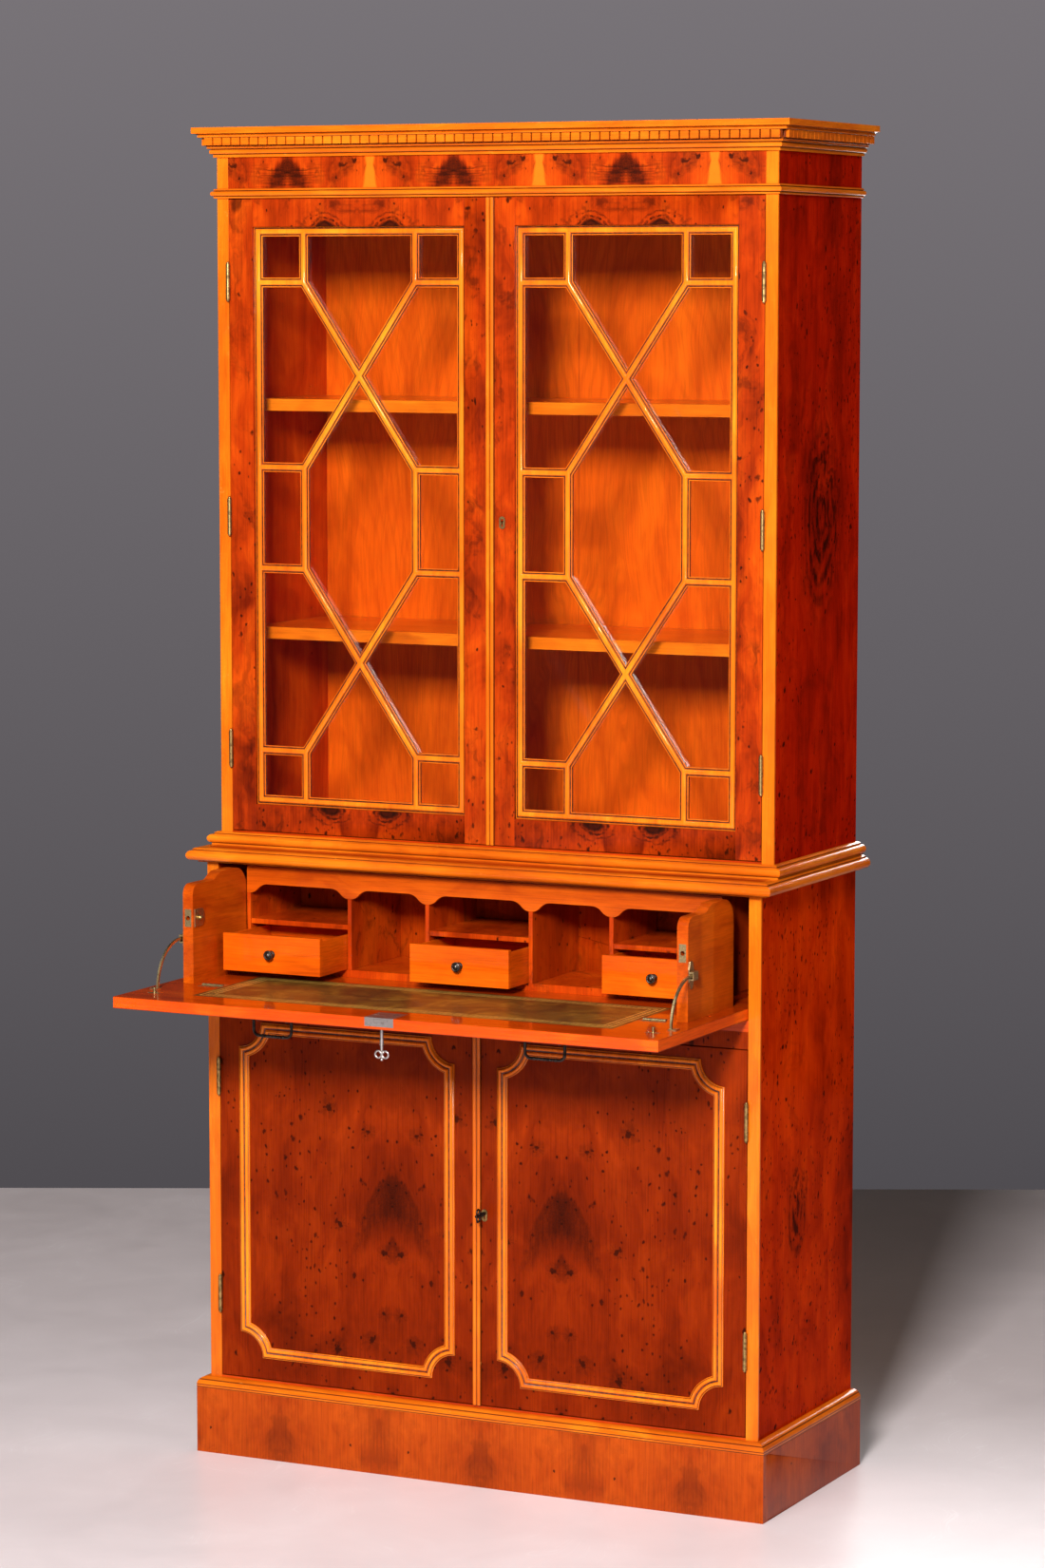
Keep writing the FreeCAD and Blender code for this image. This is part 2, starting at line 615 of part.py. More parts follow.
def astragal(name, start, end, depth):
    """One glazing bar between two points given across and in height."""
    rise = value_of(end[1]) - value_of(start[1])
    run = value_of(end[0]) - value_of(start[0])
    length = math.hypot(run, rise)
    along = Vector(run / length, 0, rise / length)
    forward = Vector(0, -1, 0)
    profile = loose_sketch(name + "_section", astragal_section(), True, (start[0], depth, start[1]),
                           Rotation(forward.cross(along), forward, along, "ZXY"))
    bar = doc.addObject("Part::Extrusion", name)
    bar.Base = profile
    bar.DirMode = "Normal"
    bar.LengthFwd = length
    bar.Solid = True
    return bar


def build_glazed_bars(word, left, right):
    """Lozenge pattern of glazing bars within the opening of one door."""
    low = GLAZED_LOW + GLAZED_RAIL
    high = GLAZED_TOP - GLAZED_RAIL
    middle = (low + high) / 2
    centre = (left + right) / 2
    depth = UPPER_FRONT + BAR_SETBACK + 7.5
    posts = (centre - BAR_SPREAD, centre + BAR_SPREAD)
    levels = {"top": middle + BAR_ROW_OUT, "upper": middle + BAR_ROW_IN,
              "lower": middle - BAR_ROW_IN, "bottom": middle - BAR_ROW_OUT}
    runs = []
    for level in levels.values():
        runs.append(((left, level), (posts[0], level)))
        runs.append(((posts[1], level), (right, level)))
    for post in posts:
        runs.append(((post, levels["top"]), (post, high)))
        runs.append(((post, levels["lower"]), (post, levels["upper"])))
        runs.append(((post, low), (post, levels["bottom"])))
    for one, other in (("upper", "top"), ("bottom", "lower")):
        runs.append(((posts[0], levels[one]), (posts[1], levels[other])))
        runs.append(((posts[0], levels[other]), (posts[1], levels[one])))
    bars = [astragal(f"{word}_bar{index}", start, end, depth) for index, (start, end) in enumerate(runs)]
    for name, start, end in (("bottom", (left, low), (right, low)), ("top", (left, high), (right, high)),
                             ("left", (left, low), (left, high)), ("right", (right, low), (right, high))):
        bars.append(astragal(f"{word}_border_{name}", start, end, depth))
    trim = board(f"{word}_opening", (left, right), (UPPER_FRONT - 5, UPPER_FRONT + DOOR_THICK), (low, high))
    trimmed = doc.addObject("Part::MultiCommon", f"{word}_bars")
    trimmed.Shapes = [fuse(f"{word}_bar_lattice", bars), trim]
    node(f"glazed_{word}_bars", trimmed)
    glass_front = depth + 0.2
    pane = board(f"{word}_pane", (left, right), (glass_front, glass_front + GLASS_THICK), (low, high))
    node(f"glazed_{word}_glass", pane)


def build_glazed_door(side, word):
    front = UPPER_FRONT
    depth = (front, front + DOOR_THICK)
    levels = hinge_heights()["glazed"]
    meeting = meeting_edge(side)
    outer_stile = board(f"{word}_outer_stile_blank", mirrored(side, DOOR_OUT - STILE, DOOR_OUT), depth,
                        (GLAZED_LOW, GLAZED_TOP))
    outer = cut(f"{word}_outer_stile", outer_stile,
                leaf_mortises(f"{word}_stile", side, front, levels, DOOR_OUT - LEAF_THICK))
    inner_blank = board(f"{word}_inner_stile_blank", mirrored(side, meeting, OPENING_IN), depth,
                        (GLAZED_LOW, GLAZED_TOP))
    if side > 0:
        tools = lock_openings("glazed_stile", front, 21, UPPER_LOCK_Z)
    else:
        tools = [strike_mortise("glazed_strike", front, UPPER_LOCK_Z)]
    inner = cut(f"{word}_inner_stile", inner_blank, tools)
    left, right = mirrored(side, OPENING_IN, DOOR_OUT - STILE)
    rails = [board(f"{word}_bottom_rail", (left, right), depth, (GLAZED_LOW, GLAZED_LOW + GLAZED_RAIL)),
             board(f"{word}_top_rail", (left, right), depth, (GLAZED_TOP - GLAZED_RAIL, GLAZED_TOP))]
    node(f"glazed_{word}_frame", group(f"glazed_{word}_frame", [outer, inner] + rails))
    build_glazed_bars(word, left, right)
    fittings = [door_half_hinge(f"{word}_glazed_hinge{index}", side, front, level)
                for index, level in enumerate(levels)]
    if side > 0:
        fittings.append(lock_case("glazed_lock", front, 21, UPPER_LOCK_Z))
        fittings.append(escutcheon("glazed_escutcheon", 21, front, UPPER_LOCK_Z))
    node(f"glazed_{word}_fittings", group(f"glazed_{word}_fittings", fittings))


def lock_openings(name, front, key_across, level):
    """Room for a lock in the meeting edge of a right-hand door, and the keyhole in front of it."""
    return [board(name + "_lock_room", (MEET_RIGHT - 1, MEET_RIGHT + LOCK_WIDE), (front + 6, front + 16),
                  (level - 20, level + 20)),
            rod(name + "_keyhole", 2.6, 12, (key_across, front + 7, level), TO_FRONT)]


def strike_mortise(name, front, level):
    """A mortise in the meeting edge of a left-hand door that takes the bolt."""
    return board(name, (-MEET_LEFT - 12, -MEET_LEFT + 1), (front + 7, front + 15), (level - 9, level + 9))


def lock_case(name, front, key_across, level):
    """A mortise lock body, open for its bolt and for the bit of its key."""
    body = board(name + "_body", (MEET_RIGHT, MEET_RIGHT + LOCK_WIDE), (front + 6, front + 16),
                 (level - 20, level + 20))
    slot = board(name + "_slot", (MEET_RIGHT - 1, MEET_RIGHT + 20), (front + 7.8, front + 14.2),
                 (level - 8.2, level + 8.2))
    well = rod(name + "_well", 9, 7.4, (key_across, front + 15, level), TO_FRONT)
    mouth = rod(name + "_mouth", 2.6, 12, (key_across, front + 14, level), TO_FRONT)
    return cut(name, body, [slot, well, mouth])


def door_bolt(name, front, level):
    return board(name, (MEET_RIGHT, MEET_RIGHT + 14), (front + 8, front + 14), (level - 8, level + 8))


def escutcheon(name, across, front, level):
    """A small oval plate with a keyhole."""
    plate = padded(name + "_plate", [[(-4.6, -5.5), (-4.6, 5.5, -4.75), (4.6, 5.5), (4.6, -5.5, -4.75)]],
                   1.2, (across, front, level), FACING_FRONT)
    hole = rod(name + "_hole", 2.6, 6, (across, front + 1, level + 3), TO_FRONT)
    slot = board(name + "_slot", (across - 1.2, across + 1.2), (front - 4, front + 1), (level - 6, level + 3))
    return cut(name, plate, [hole, slot])


def cover_bead(name, front, low, high):
    """Two reeds side by side over the meeting gap, carried by the right-hand door."""
    section = [(-4.9, 0), (8.6, 0), (8.6, 2, 3.1), (3, 3.2), (0.7, 3.2, 3.1), (-4.9, 2)]
    return padded(name, [section], high - low, (0, front, high), DOWN_FACING_FRONT)


def build_glazed_extras():
    node("glazed_cover_bead", cover_bead("glazed_cover_bead", UPPER_FRONT, GLAZED_LOW, GLAZED_TOP))
    node("glazed_bolt", door_bolt("glazed_bolt", UPPER_FRONT, UPPER_LOCK_Z))


# ---------------------------------------------------------------- cupboard doors

def hollow_cornered(centre, inset):
    """A rectangle with a quarter circle scooped out of each corner, drawn anticlockwise."""
    half = MOULD_HALF - inset
    left, right = centre - half, centre + half
    low, high = MOULD_LOW + inset, MOULD_TOP - inset
    # The scoops share their centres with the outer corners, so the ring keeps its width
    reach = MOULD_ARC + inset
    step = reach - inset
    return [(left + step, low), (right - step, low, -reach),
            (right, low + step), (right, high - step, -reach),
            (right - step, high), (left + step, high, -reach),
            (left, high - step), (left, low + step, -reach)]


def build_panel_moulding(side, word):
    centre = side * 217.5
    front = LOWER_FRONT
    body, sketch = new_body(f"cupboard_{word}_moulding")
    draw(sketch, hollow_cornered(centre, 0))
    draw(sketch, hollow_cornered(centre, MOULD_WIDE))
    base = body.newObject("PartDesign::Pad", f"{word}_moulding_base")
    base.Profile = sketch
    base.Length = 3
    plane = sketch.AttachmentSupport[0][0]
    for name, outer, inner in (("outer", 0.8, 7.2), ("inner", 9, 15.7)):
        reed_sketch = body.newObject("Sketcher::SketchObject", f"{word}_{name}_reed_sketch")
        reed_sketch.AttachmentSupport = [(plane, "")]
        reed_sketch.MapMode = "FlatFace"
        draw(reed_sketch, hollow_cornered(centre, outer))
        draw(reed_sketch, hollow_cornered(centre, inner))
        reed = body.newObject("PartDesign::Pad", f"{word}_{name}_reed")
        reed.Profile = reed_sketch
        reed.Length = 5.6
        body.Tip = reed
    place(body, (0, front, 0), FACING_FRONT)
    node(f"cupboard_{word}_moulding", body)


def build_cupboard_door(side, word):
    front = LOWER_FRONT
    level = hinge_heights()["cupboard"]
    blank = board(f"cupboard_{word}_blank", mirrored(side, meeting_edge(side), DOOR_OUT),
                  (front, front + DOOR_THICK),
                  (PANEL_LOW, PANEL_TOP))
    tools = leaf_mortises(f"cupboard_{word}_edge", side, front, level, DOOR_OUT - LEAF_THICK)
    if side > 0:
        tools += lock_openings("cupboard_door", front, DOOR_KEY_X, DOOR_KEY_Z)
    else:
        tools.append(strike_mortise("cupboard_strike", front, DOOR_KEY_Z))
    node(f"cupboard_{word}_panel", cut(f"cupboard_{word}_panel", blank, tools))
    build_panel_moulding(side, word)
    fittings = [door_half_hinge(f"cupboard_{word}_hinge{index}", side, front, height)
                for index, height in enumerate(level)]
    if side > 0:
        fittings.append(lock_case("cupboard_lock", front, DOOR_KEY_X, DOOR_KEY_Z))
        fittings.append(escutcheon("cupboard_escutcheon", DOOR_KEY_X, front, DOOR_KEY_Z - 3))
    node(f"cupboard_{word}_fittings", group(f"cupboard_{word}_fittings", fittings))


def scroll_key(name, stem, bow_radius):
    """A key standing along its own Z: bit at the bottom, collars, and a bow of two scrolls on top."""
    parts = [rod(name + "_shank", 2.2, stem, (0, 0, 0)),
             rod(name + "_collar", 3.4, 1.6, (0, 0, stem * 0.78)),
             rod(name + "_shoulder", 2.8, 6, (0, 0, stem * 0.78 - 6.2)),
             board(name + "_bit", (0, 7), (-1, 1), (0.5, 5)),
             ball(name + "_tip", 2.2, (0, 0, stem + bow_radius * 2.6)),
             rod(name + "_spine", 1.1, bow_radius * 2.5, (0, 0, stem))]
    for across in (-1, 1):
        upright = Rotation(Vector(1, 0, 0), 90)
        parts.append(ring(f"{name}_lobe{across + 1}", bow_radius, 1.4,
                          (across * (bow_radius + 0.6), 0, stem + bow_radius * 1.15), upright))
        parts.append(ball(f"{name}_curl{across + 1}", 1.9, (across * 2.4, 0, stem + bow_radius * 0.5)))
    return fuse(name, parts)


def build_cupboard_extras():
    node("cupboard_cover_bead", cover_bead("cupboard_cover_bead", LOWER_FRONT, PANEL_LOW, PANEL_TOP))
    node("cupboard_bolt", door_bolt("cupboard_bolt", LOWER_FRONT, DOOR_KEY_Z))
    key = scroll_key("cupboard_key", 30, 4.4)
    # The bow stands upright, square to the door
    turn = Rotation(Vector(0, 0, -1), Vector(1, 0, 0), Vector(0, -1, 0), "ZXY")
    node("cupboard_key", place(key, (DOOR_KEY_X, LOWER_FRONT + 13.6, DOOR_KEY_Z), turn))


# ---------------------------------------------------------------- secretaire drawer

def build_drawer_base():
    blank = board("drawer_base_blank", (-BASE_HALF, BASE_HALF), (AXIS_Y + 0.25, BASE_BACK),
                  (BASE_TOP - BASE_THICK, BASE_TOP))
    tools = [board("base_leather_bed", (-LEATHER_HALF, LEATHER_HALF), (AXIS_Y + 0.2, LEATHER_BACK),
                   (BASE_TOP - LEATHER_THICK, BASE_TOP + 1))]
    for side, word in ((1, "right"), (-1, "left")):
        tools.append(board(f"base_{word}_stay_slot", mirrored(side, STAY_IN - 1, STAY_IN + STAY_THICK + 1),
                           (AXIS_Y + STAY_R - 5.5, AXIS_Y + STAY_R + 3.5),
                           (BASE_TOP - BASE_THICK - 1, BASE_TOP + 1)))
        low, high = mirrored(side, FALL_HINGE_IN, FALL_HINGE_IN + FALL_HINGE_LONG)
        tools.append(board(f"base_{word}_hinge_bed", (low, high), (AXIS_Y, AXIS_Y + 16),
                           (BASE_TOP - 1.5, BASE_TOP + 1)))
        tools.append(rod(f"base_{word}_knuckle_bed", FALL_KNUCKLE + 0.3, FALL_HINGE_LONG,
                         (low, AXIS_Y, BASE_TOP),
                         ALONG_X))
    node("drawer_base", cut("drawer_base", blank, tools))
    node("base_leather", board("base_leather", (-LEATHER_HALF, LEATHER_HALF), (AXIS_Y + 0.25, LEATHER_BACK),
                               (BASE_TOP - LEATHER_THICK, BASE_TOP)))


def build_drawer_sides():
    front = AXIS_Y + 0.25
    strike_level = BASE_TOP + STRIKE_REACH
    outline = [(front, BASE_TOP), (GALLERY_FRONT, BASE_TOP), (GALLERY_FRONT, 872, 33), (-192, GALLERY_TOP),
               (-236, GALLERY_TOP), (-250, 897, -20), (-266, 892), (-304, 892, 15.5), (front, 878)]
    sides = []
    for side, word in ((1, "right"), (-1, "left")):
        low, high = mirrored(side, SIDE_IN, SIDE_OUT)
        blank = padded(f"drawer_{word}_side_blank", [outline], SIDE_OUT - SIDE_IN, (low, 0, 0), FACING_RIGHT)
        tools = [board(f"{word}_catch_bed", mirrored(side, STRIKE_X - 5.5, STRIKE_X + 5.5),
                       (front - 1, front + 1.2), (strike_level - 13, strike_level + 13)),
                 rod(f"{word}_strike_hole", 3.6, 13, (side * STRIKE_X, front - 1, strike_level), TO_BACK),
                 rod(f"{word}_button_hole", 3.8, 13, (side * (SIDE_IN + 5.5) - 6.5, front + 15, strike_level),
                     ALONG_X)]
        sides.append(cut(f"drawer_{word}_side", blank, tools))
    node("drawer_sides", group("drawer_sides", sides))


def valance_outline():
    """Front outline of the valance: five flat-crowned arches between pointed tips."""
    edge = GALLERY_HALF
    tips = [edge - END_THICK / 2, DIVIDER_B, DIVIDER_A]
    tips = [-tip for tip in tips] + list(reversed(tips))
    outline = [(edge, VALANCE_TIP), (edge, GALLERY_TOP), (-edge, GALLERY_TOP), (-edge, VALANCE_TIP)]
    for start, end in zip(tips, tips[1:]):
        outline.append((start + 5, VALANCE_TIP, 22))
        outline.append((start + 16, VALANCE_TIP + 7, -22))
        outline.append((start + 31, VALANCE_CROWN))
        outline.append((end - 31, VALANCE_CROWN, -22))
        outline.append((end - 16, VALANCE_TIP + 7, 22))
        outline.append((end - 5, VALANCE_TIP))
    return outline


def build_gallery():
    members = [board("gallery_floor", (-GALLERY_HALF, GALLERY_HALF), (GALLERY_FRONT, GALLERY_BACK),
                     (BASE_TOP, GALLERY_FLOOR)),
               board("gallery_back", (-GALLERY_HALF, GALLERY_HALF), (GALLERY_BACK, GALLERY_BACK + 6),
                     (BASE_TOP, GALLERY_TOP))]
    behind = GALLERY_FRONT + VALANCE_THICK
    uprights = [("left_end", -GALLERY_HALF, -GALLERY_HALF + END_THICK),
                ("right_end", GALLERY_HALF - END_THICK, GALLERY_HALF)]
    for word, centre in (("far_left", -DIVIDER_B), ("left", -DIVIDER_A), ("right", DIVIDER_A),
                         ("far_right", DIVIDER_B)):
        uprights.append((word + "_divider", centre - DIVIDER / 2, centre + DIVIDER / 2))
    for name, low, high in uprights:
        tall = board(name + "_tall", (low, high), (behind, GALLERY_BACK), (GALLERY_FLOOR, GALLERY_TOP))
        nose = board(name + "_nose", (low, high), (GALLERY_FRONT, behind), (GALLERY_FLOOR, VALANCE_TIP))
        members.append(fuse(name, [tall, nose]))
    for name, low, high in tray_bays():
        members.append(board(f"{name}_bay_shelf", (low, high), (GALLERY_FRONT + 2, GALLERY_BACK),
                             (PIGEON_SHELF, PIGEON_SHELF + PIGEON_THICK)))
    node("gallery", group("gallery", members))
    node("valance", padded("valance", [valance_outline()], VALANCE_THICK, (0, behind, 0), FACING_FRONT))


def tray_bays():
    """The three bays that hold small drawers, by their limits across."""
    outer = GALLERY_HALF - END_THICK
    return [("left", -outer, -DIVIDER_B - DIVIDER / 2),
            ("middle", -DIVIDER_A + DIVIDER / 2, DIVIDER_A - DIVIDER / 2),
            ("right", DIVIDER_B + DIVIDER / 2, outer)]


def build_catches_and_brackets():
    front = AXIS_Y + 0.25
    level = BASE_TOP + STRIKE_REACH
    fittings = []
    for side, word in ((1, "right"), (-1, "left")):
        plate = board(f"{word}_catch_blank", mirrored(side, STRIKE_X - 5.5, STRIKE_X + 5.5),
                      (front, front + 1.2), (level - 13, level + 13))
        hole = rod(f"{word}_catch_hole", 3.4, 6, (side * STRIKE_X, front - 2, level), TO_BACK)
        fittings.append(cut(f"{word}_catch_plate", plate, [hole]))
        housing = padded(f"{word}_housing_blank",
                         [[(front + 4, level - 13), (front + 26, level - 13, 18), (front + 26, level + 13),
                           (front + 4, level + 13)]], 1.5,
                         (SIDE_IN - 1.5 if side > 0 else -SIDE_IN, 0, 0), FACING_RIGHT)
        bore = rod(f"{word}_housing_bore", 3.8, 10, (side * SIDE_IN - 5, front + 15, level), ALONG_X)
        fittings.append(cut(f"{word}_housing", housing, [bore]))
        button = rod(f"{word}_button_shank", 3.72, 12, (side * (SIDE_IN + 2) - 6, front + 15, level), ALONG_X)
        dome = ball(f"{word}_button_dome", 3.72, (side * (SIDE_IN - 4), front + 15, level))
        node(f"catch_button_{word}", fuse(f"catch_button_{word}", [button, dome]))
        fittings.append(stay_bracket(side, word))
        fittings.append(fall_hinge(f"base_{word}_hinge", side, 1))
    node("drawer_fittings", group("drawer_fittings", fittings))


def stay_bracket(side, word):
    """A shaped plate on the drawer side with a guide that the stay slides through."""
    front = AXIS_Y + 2
    crest = BASE_TOP + STAY_R
    low, high = mirrored(side, SIDE_OUT, SIDE_OUT + 1.5)
    outline = [(front, crest - 10), (front + 6, crest - 20, 7), (front + 13, crest - 14), (front + 16, crest - 6),
               (front + 26, crest - 4, 4.4), (front + 26, crest + 4), (front + 16, crest + 5),
               (front + 13, crest + 13, 6), (front + 4, crest + 19), (front, crest + 8)]
    parts = [padded(f"{word}_bracket_plate", [outline], 1.5, (low, 0, 0), FACING_RIGHT),
             board(f"{word}_guide_top", mirrored(side, SIDE_OUT, SIDE_OUT + 8), (front, front + 16),
                   (crest + 2.7, crest + 5.2)),
             board(f"{word}_guide_foot", mirrored(side, SIDE_OUT, SIDE_OUT + 8), (front, front + 16),
                   (crest - 7.1, crest - 4.9)),
             board(f"{word}_guide_cap", mirrored(side, STAY_IN + STAY_THICK + 0.6, SIDE_OUT + 8),
                   (front, front + 16), (crest - 7.1, crest + 5.2))]
    return fuse(f"{word}_bracket", parts)


def fall_hinge(name, side, half):
    """Half of a fall hinge: the base's (+1) with two end barrels, or the fall's (-1) with the middle one."""
    low, high = mirrored(side, FALL_HINGE_IN, FALL_HINGE_IN + FALL_HINGE_LONG)
    third = FALL_HINGE_LONG / 3
    spans = [(low, low + third), (high - third, high)] if half > 0 else [(low + third + 0.3, high - third - 0.3)]
    depth = (AXIS_Y + 0.5, AXIS_Y + 15.5) if half > 0 else (AXIS_Y - 15.5, AXIS_Y - 0.5)
    bed = board(name + "_leaf", (low, high), (AXIS_Y + FALL_KNUCKLE + 0.6, AXIS_Y + 15.5) if half > 0
                else (AXIS_Y - 15.5, AXIS_Y - FALL_KNUCKLE - 0.6), (BASE_TOP - 1.5, BASE_TOP))
    parts = [bed]
    for index, (start, end) in enumerate(spans):
        parts.append(rod(f"{name}_barrel{index}", FALL_KNUCKLE, end - start, (start, AXIS_Y, BASE_TOP),
                         ALONG_X))
        parts.append(board(f"{name}_web{index}", (start, end), depth, (BASE_TOP - 1.5, BASE_TOP)))
    if half > 0:
        pin = rod(name + "_pin", 1, FALL_HINGE_LONG, (low, AXIS_Y, BASE_TOP), ALONG_X)
        return fuse(name, parts + [pin])
    bore = rod(name + "_bore", 1.25, FALL_HINGE_LONG, (low, AXIS_Y, BASE_TOP), ALONG_X)
    return cut(name, fuse(name + "_blank", parts), [bore])


def build_small_drawers():
    reaches = {"left": -245, "middle": -224, "right": -201}
    for name, low, high in tray_bays():
        front = dimension(f"{name}_small_drawer_front", reaches[name])
        left, right = low + 1, high - 1
        back = front + TRAY_LONG
        top = TRAY_TOP - 4
        members = [board(f"{name}_tray_front", (left, right), (front, front + 8), (TRAY_LOW, TRAY_TOP)),
                   board(f"{name}_tray_left", (left, left + 5), (front + 8, back), (TRAY_LOW, top)),
                   board(f"{name}_tray_right", (right - 5, right), (front + 8, back), (TRAY_LOW, top)),
                   board(f"{name}_tray_back", (left + 5, right - 5), (back - 5, back), (TRAY_LOW, top)),
                   board(f"{name}_tray_bottom", (left + 5, right - 5), (front + 8, back - 5),
                         (TRAY_LOW, TRAY_LOW + 4))]
        node(f"small_drawer_{name}", group(f"small_drawer_{name}", members))
        profile = [(0, 0), (6.6, 0), (6.6, 1.4), (3.2, 2.6), (3, 5.4), (5.6, 7, 6), (7.4, 10.4, 6), (5.4, 13.8), (0, 14.4)]
        node(f"knob_{name}", turned(f"knob_{name}", profile, ((low + high) / 2, front, 784.5), TO_FRONT_Y))


# ---------------------------------------------------------------- fall

def build_fall():
    blank = board("fall_blank", (-BASE_HALF, BASE_HALF), (FALL_FRONT, AXIS_Y - 0.25),
                  (BASE_TOP - BASE_THICK, BASE_TOP))
    tools = [board("fall_leather_bed", (-LEATHER_HALF, LEATHER_HALF), (LEATHER_FRONT, AXIS_Y),
                   (BASE_TOP - LEATHER_THICK, BASE_TOP + 1)),
             board("fall_lock_room", (LOCK_X - 23, LOCK_X + 23), (FALL_FRONT - 1, FALL_FRONT + 45),
                   (BASE_TOP - 13, BASE_TOP + 1)),
             rod("fall_keyhole", 3, 20, (FALL_KEY_X, FALL_KEY_Y, BASE_TOP - BASE_THICK - 2))]
    for side, word in ((1, "right"), (-1, "left")):
        low, high = mirrored(side, FALL_HINGE_IN, FALL_HINGE_IN + FALL_HINGE_LONG)
        tools.append(board(f"fall_{word}_hinge_bed", (low, high), (AXIS_Y - 16, AXIS_Y),
                           (BASE_TOP - 1.5, BASE_TOP + 1)))
        tools.append(rod(f"fall_{word}_knuckle_bed", FALL_KNUCKLE + 0.3, FALL_HINGE_LONG,
                         (low, AXIS_Y, BASE_TOP),
                         ALONG_X))
        tools.append(board(f"fall_{word}_strike_bed", (side * STRIKE_X - 11, side * STRIKE_X + 11),
                           (AXIS_Y - STRIKE_REACH - 6, AXIS_Y - STRIKE_REACH + 6),
                           (BASE_TOP - 1.2, BASE_TOP + 1)))
    node("fall_panel", cut("fall_panel", blank, tools))
    node("fall_leather", board("fall_leather", (-LEATHER_HALF, LEATHER_HALF), (LEATHER_FRONT, AXIS_Y - 0.25),
                               (BASE_TOP - LEATHER_THICK, BASE_TOP)))


def stay_arm(side, word):
    """A quarter-ring arm about the fall's hinge line, with its foot screwed to the fall."""
    start = math.radians(180)
    end = math.radians(180 - STAY_SWEEP.value)
    outer = STAY_R + STAY_HALF
    inner = STAY_R - STAY_HALF

    def around(radius, angle):
        return AXIS_Y + radius * math.cos(angle), BASE_TOP + radius * math.sin(angle)

    middle = (start + end) / 2
    outline = [around(outer, start) + (-outer,), around(outer, middle) + (-outer,), around(outer, end),
               around(inner, end) + (inner,), around(inner, middle) + (inner,), around(inner, start)]
    low, high = mirrored(side, STAY_IN, STAY_IN + STAY_THICK)
    arm = padded(f"{word}_stay_arm", [outline], STAY_THICK, (low, 0, 0), FACING_RIGHT)
    foot = board(f"{word}_stay_foot", mirrored(side, STAY_IN - 1, STAY_IN + 12),
                 (AXIS_Y - STAY_R - 6, AXIS_Y - STAY_R + 6), (BASE_TOP, BASE_TOP + 1.5))
    return fuse(f"{word}_stay", [arm, foot])


def build_fall_fittings():
    fittings = []
    for side, word in ((1, "right"), (-1, "left")):
        fittings.append(fall_hinge(f"fall_{word}_hinge", side, -1))
        across = side * STRIKE_X
        depth = AXIS_Y - STRIKE_REACH
        cross = [board(f"{word}_strike_bar", (across - 10.5, across + 10.5), (depth - 2.6, depth + 2.6),
                       (BASE_TOP - 1.2, BASE_TOP)),
                 board(f"{word}_strike_arm", (across - 4, across + 4), (depth - 5.5, depth + 5.5),
                       (BASE_TOP - 1.2, BASE_TOP)),
                 rod(f"{word}_strike_stem", 1.8, 7, (across, depth, BASE_TOP - 0.5)),
                 rod(f"{word}_strike_head", 2.7, 2, (across, depth, BASE_TOP + 5.5))]
        fittings.append(fuse(f"{word}_strike", cross))
        fittings.append(stay_arm(side, word))
    node("fall_fittings", group("fall_fittings", fittings))


def build_fall_lock():
    body = board("fall_lock_body", (LOCK_X - 23, LOCK_X + 23), (FALL_FRONT + 1.5, FALL_FRONT + 45),
                 (BASE_TOP - 13, BASE_TOP))
    selvedge = board("fall_lock_selvedge", (LOCK_X - 23, LOCK_X + 23), (FALL_FRONT, FALL_FRONT + 1.5),
                     (BASE_TOP - 13, BASE_TOP - 0.3))
    well = rod("fall_lock_well", 9, 5.5, (FALL_KEY_X, FALL_KEY_Y, BASE_TOP - 12))
    mouth = rod("fall_lock_mouth", 3, 12, (FALL_KEY_X, FALL_KEY_Y, BASE_TOP - 20))
    slot = board("fall_lock_slot", (LOCK_X - 8.3, LOCK_X + 8.3), (FALL_FRONT - 1, FALL_FRONT + 30),
                 (BASE_TOP - 6.7, BASE_TOP - 1.8))
    node("fall_lock", cut("fall_lock", fuse("fall_lock_blank", [body, selvedge]), [well, mouth, slot]))
    node("fall_bolt", board("fall_bolt", (LOCK_X - 8, LOCK_X + 8), (FALL_FRONT + 0.2, FALL_FRONT + 22),
                            (BASE_TOP - 6.5, BASE_TOP - 2)))
    key = scroll_key("fall_key", 43, 4.9)
    hanging = Rotation(Vector(1, 0, 0), 180)
    node("fall_key", place(key, (FALL_KEY_X, FALL_KEY_Y, BASE_TOP - 7), hanging))


def build_handles():
    posts = []
    under = BASE_TOP - BASE_THICK
    for side, word in ((1, "right"), (-1, "left")):
        centre = side * BAIL_X
        for end in (1, -1):
            across = centre + end * POST_X
            stem = rod(f"{word}_post_stem{end + 1}", 2.6, under - BAIL_Z, (across, BAIL_Y, BAIL_Z))
            rose = rod(f"{word}_post_rose{end + 1}", 8.5, 1.6, (across, BAIL_Y, under - 1.6))
            dome = rod(f"{word}_post_dome{end + 1}", 5.5, 2.4, (across, BAIL_Y, under - 4))
            head = ball(f"{word}_post_head{end + 1}", 3.9, (across, BAIL_Y, BAIL_Z))
            eye = rod(f"{word}_post_eye{end + 1}", 1.7, 12, (across - 6, BAIL_Y, BAIL_Z), ALONG_X)
            posts.append(cut(f"{word}_post{end + 1}", fuse(f"{word}_post_blank{end + 1}", [stem, rose, dome, head]),
                             [eye]))
        run = [(centre - BAIL_HALF, BAIL_Z),
               (centre - BAIL_HALF, BAIL_Z - BAIL_DROP + 9, 9.5), (centre - BAIL_HALF + 9, BAIL_Z - BAIL_DROP),
               (centre + BAIL_HALF - 9, BAIL_Z - BAIL_DROP, 9.5), (centre + BAIL_HALF, BAIL_Z - BAIL_DROP + 9),
               (centre + BAIL_HALF, BAIL_Z)]
        node(f"bail_{word}", bail(word, run, centre))
    node("handle_posts", group("handle_posts", posts))


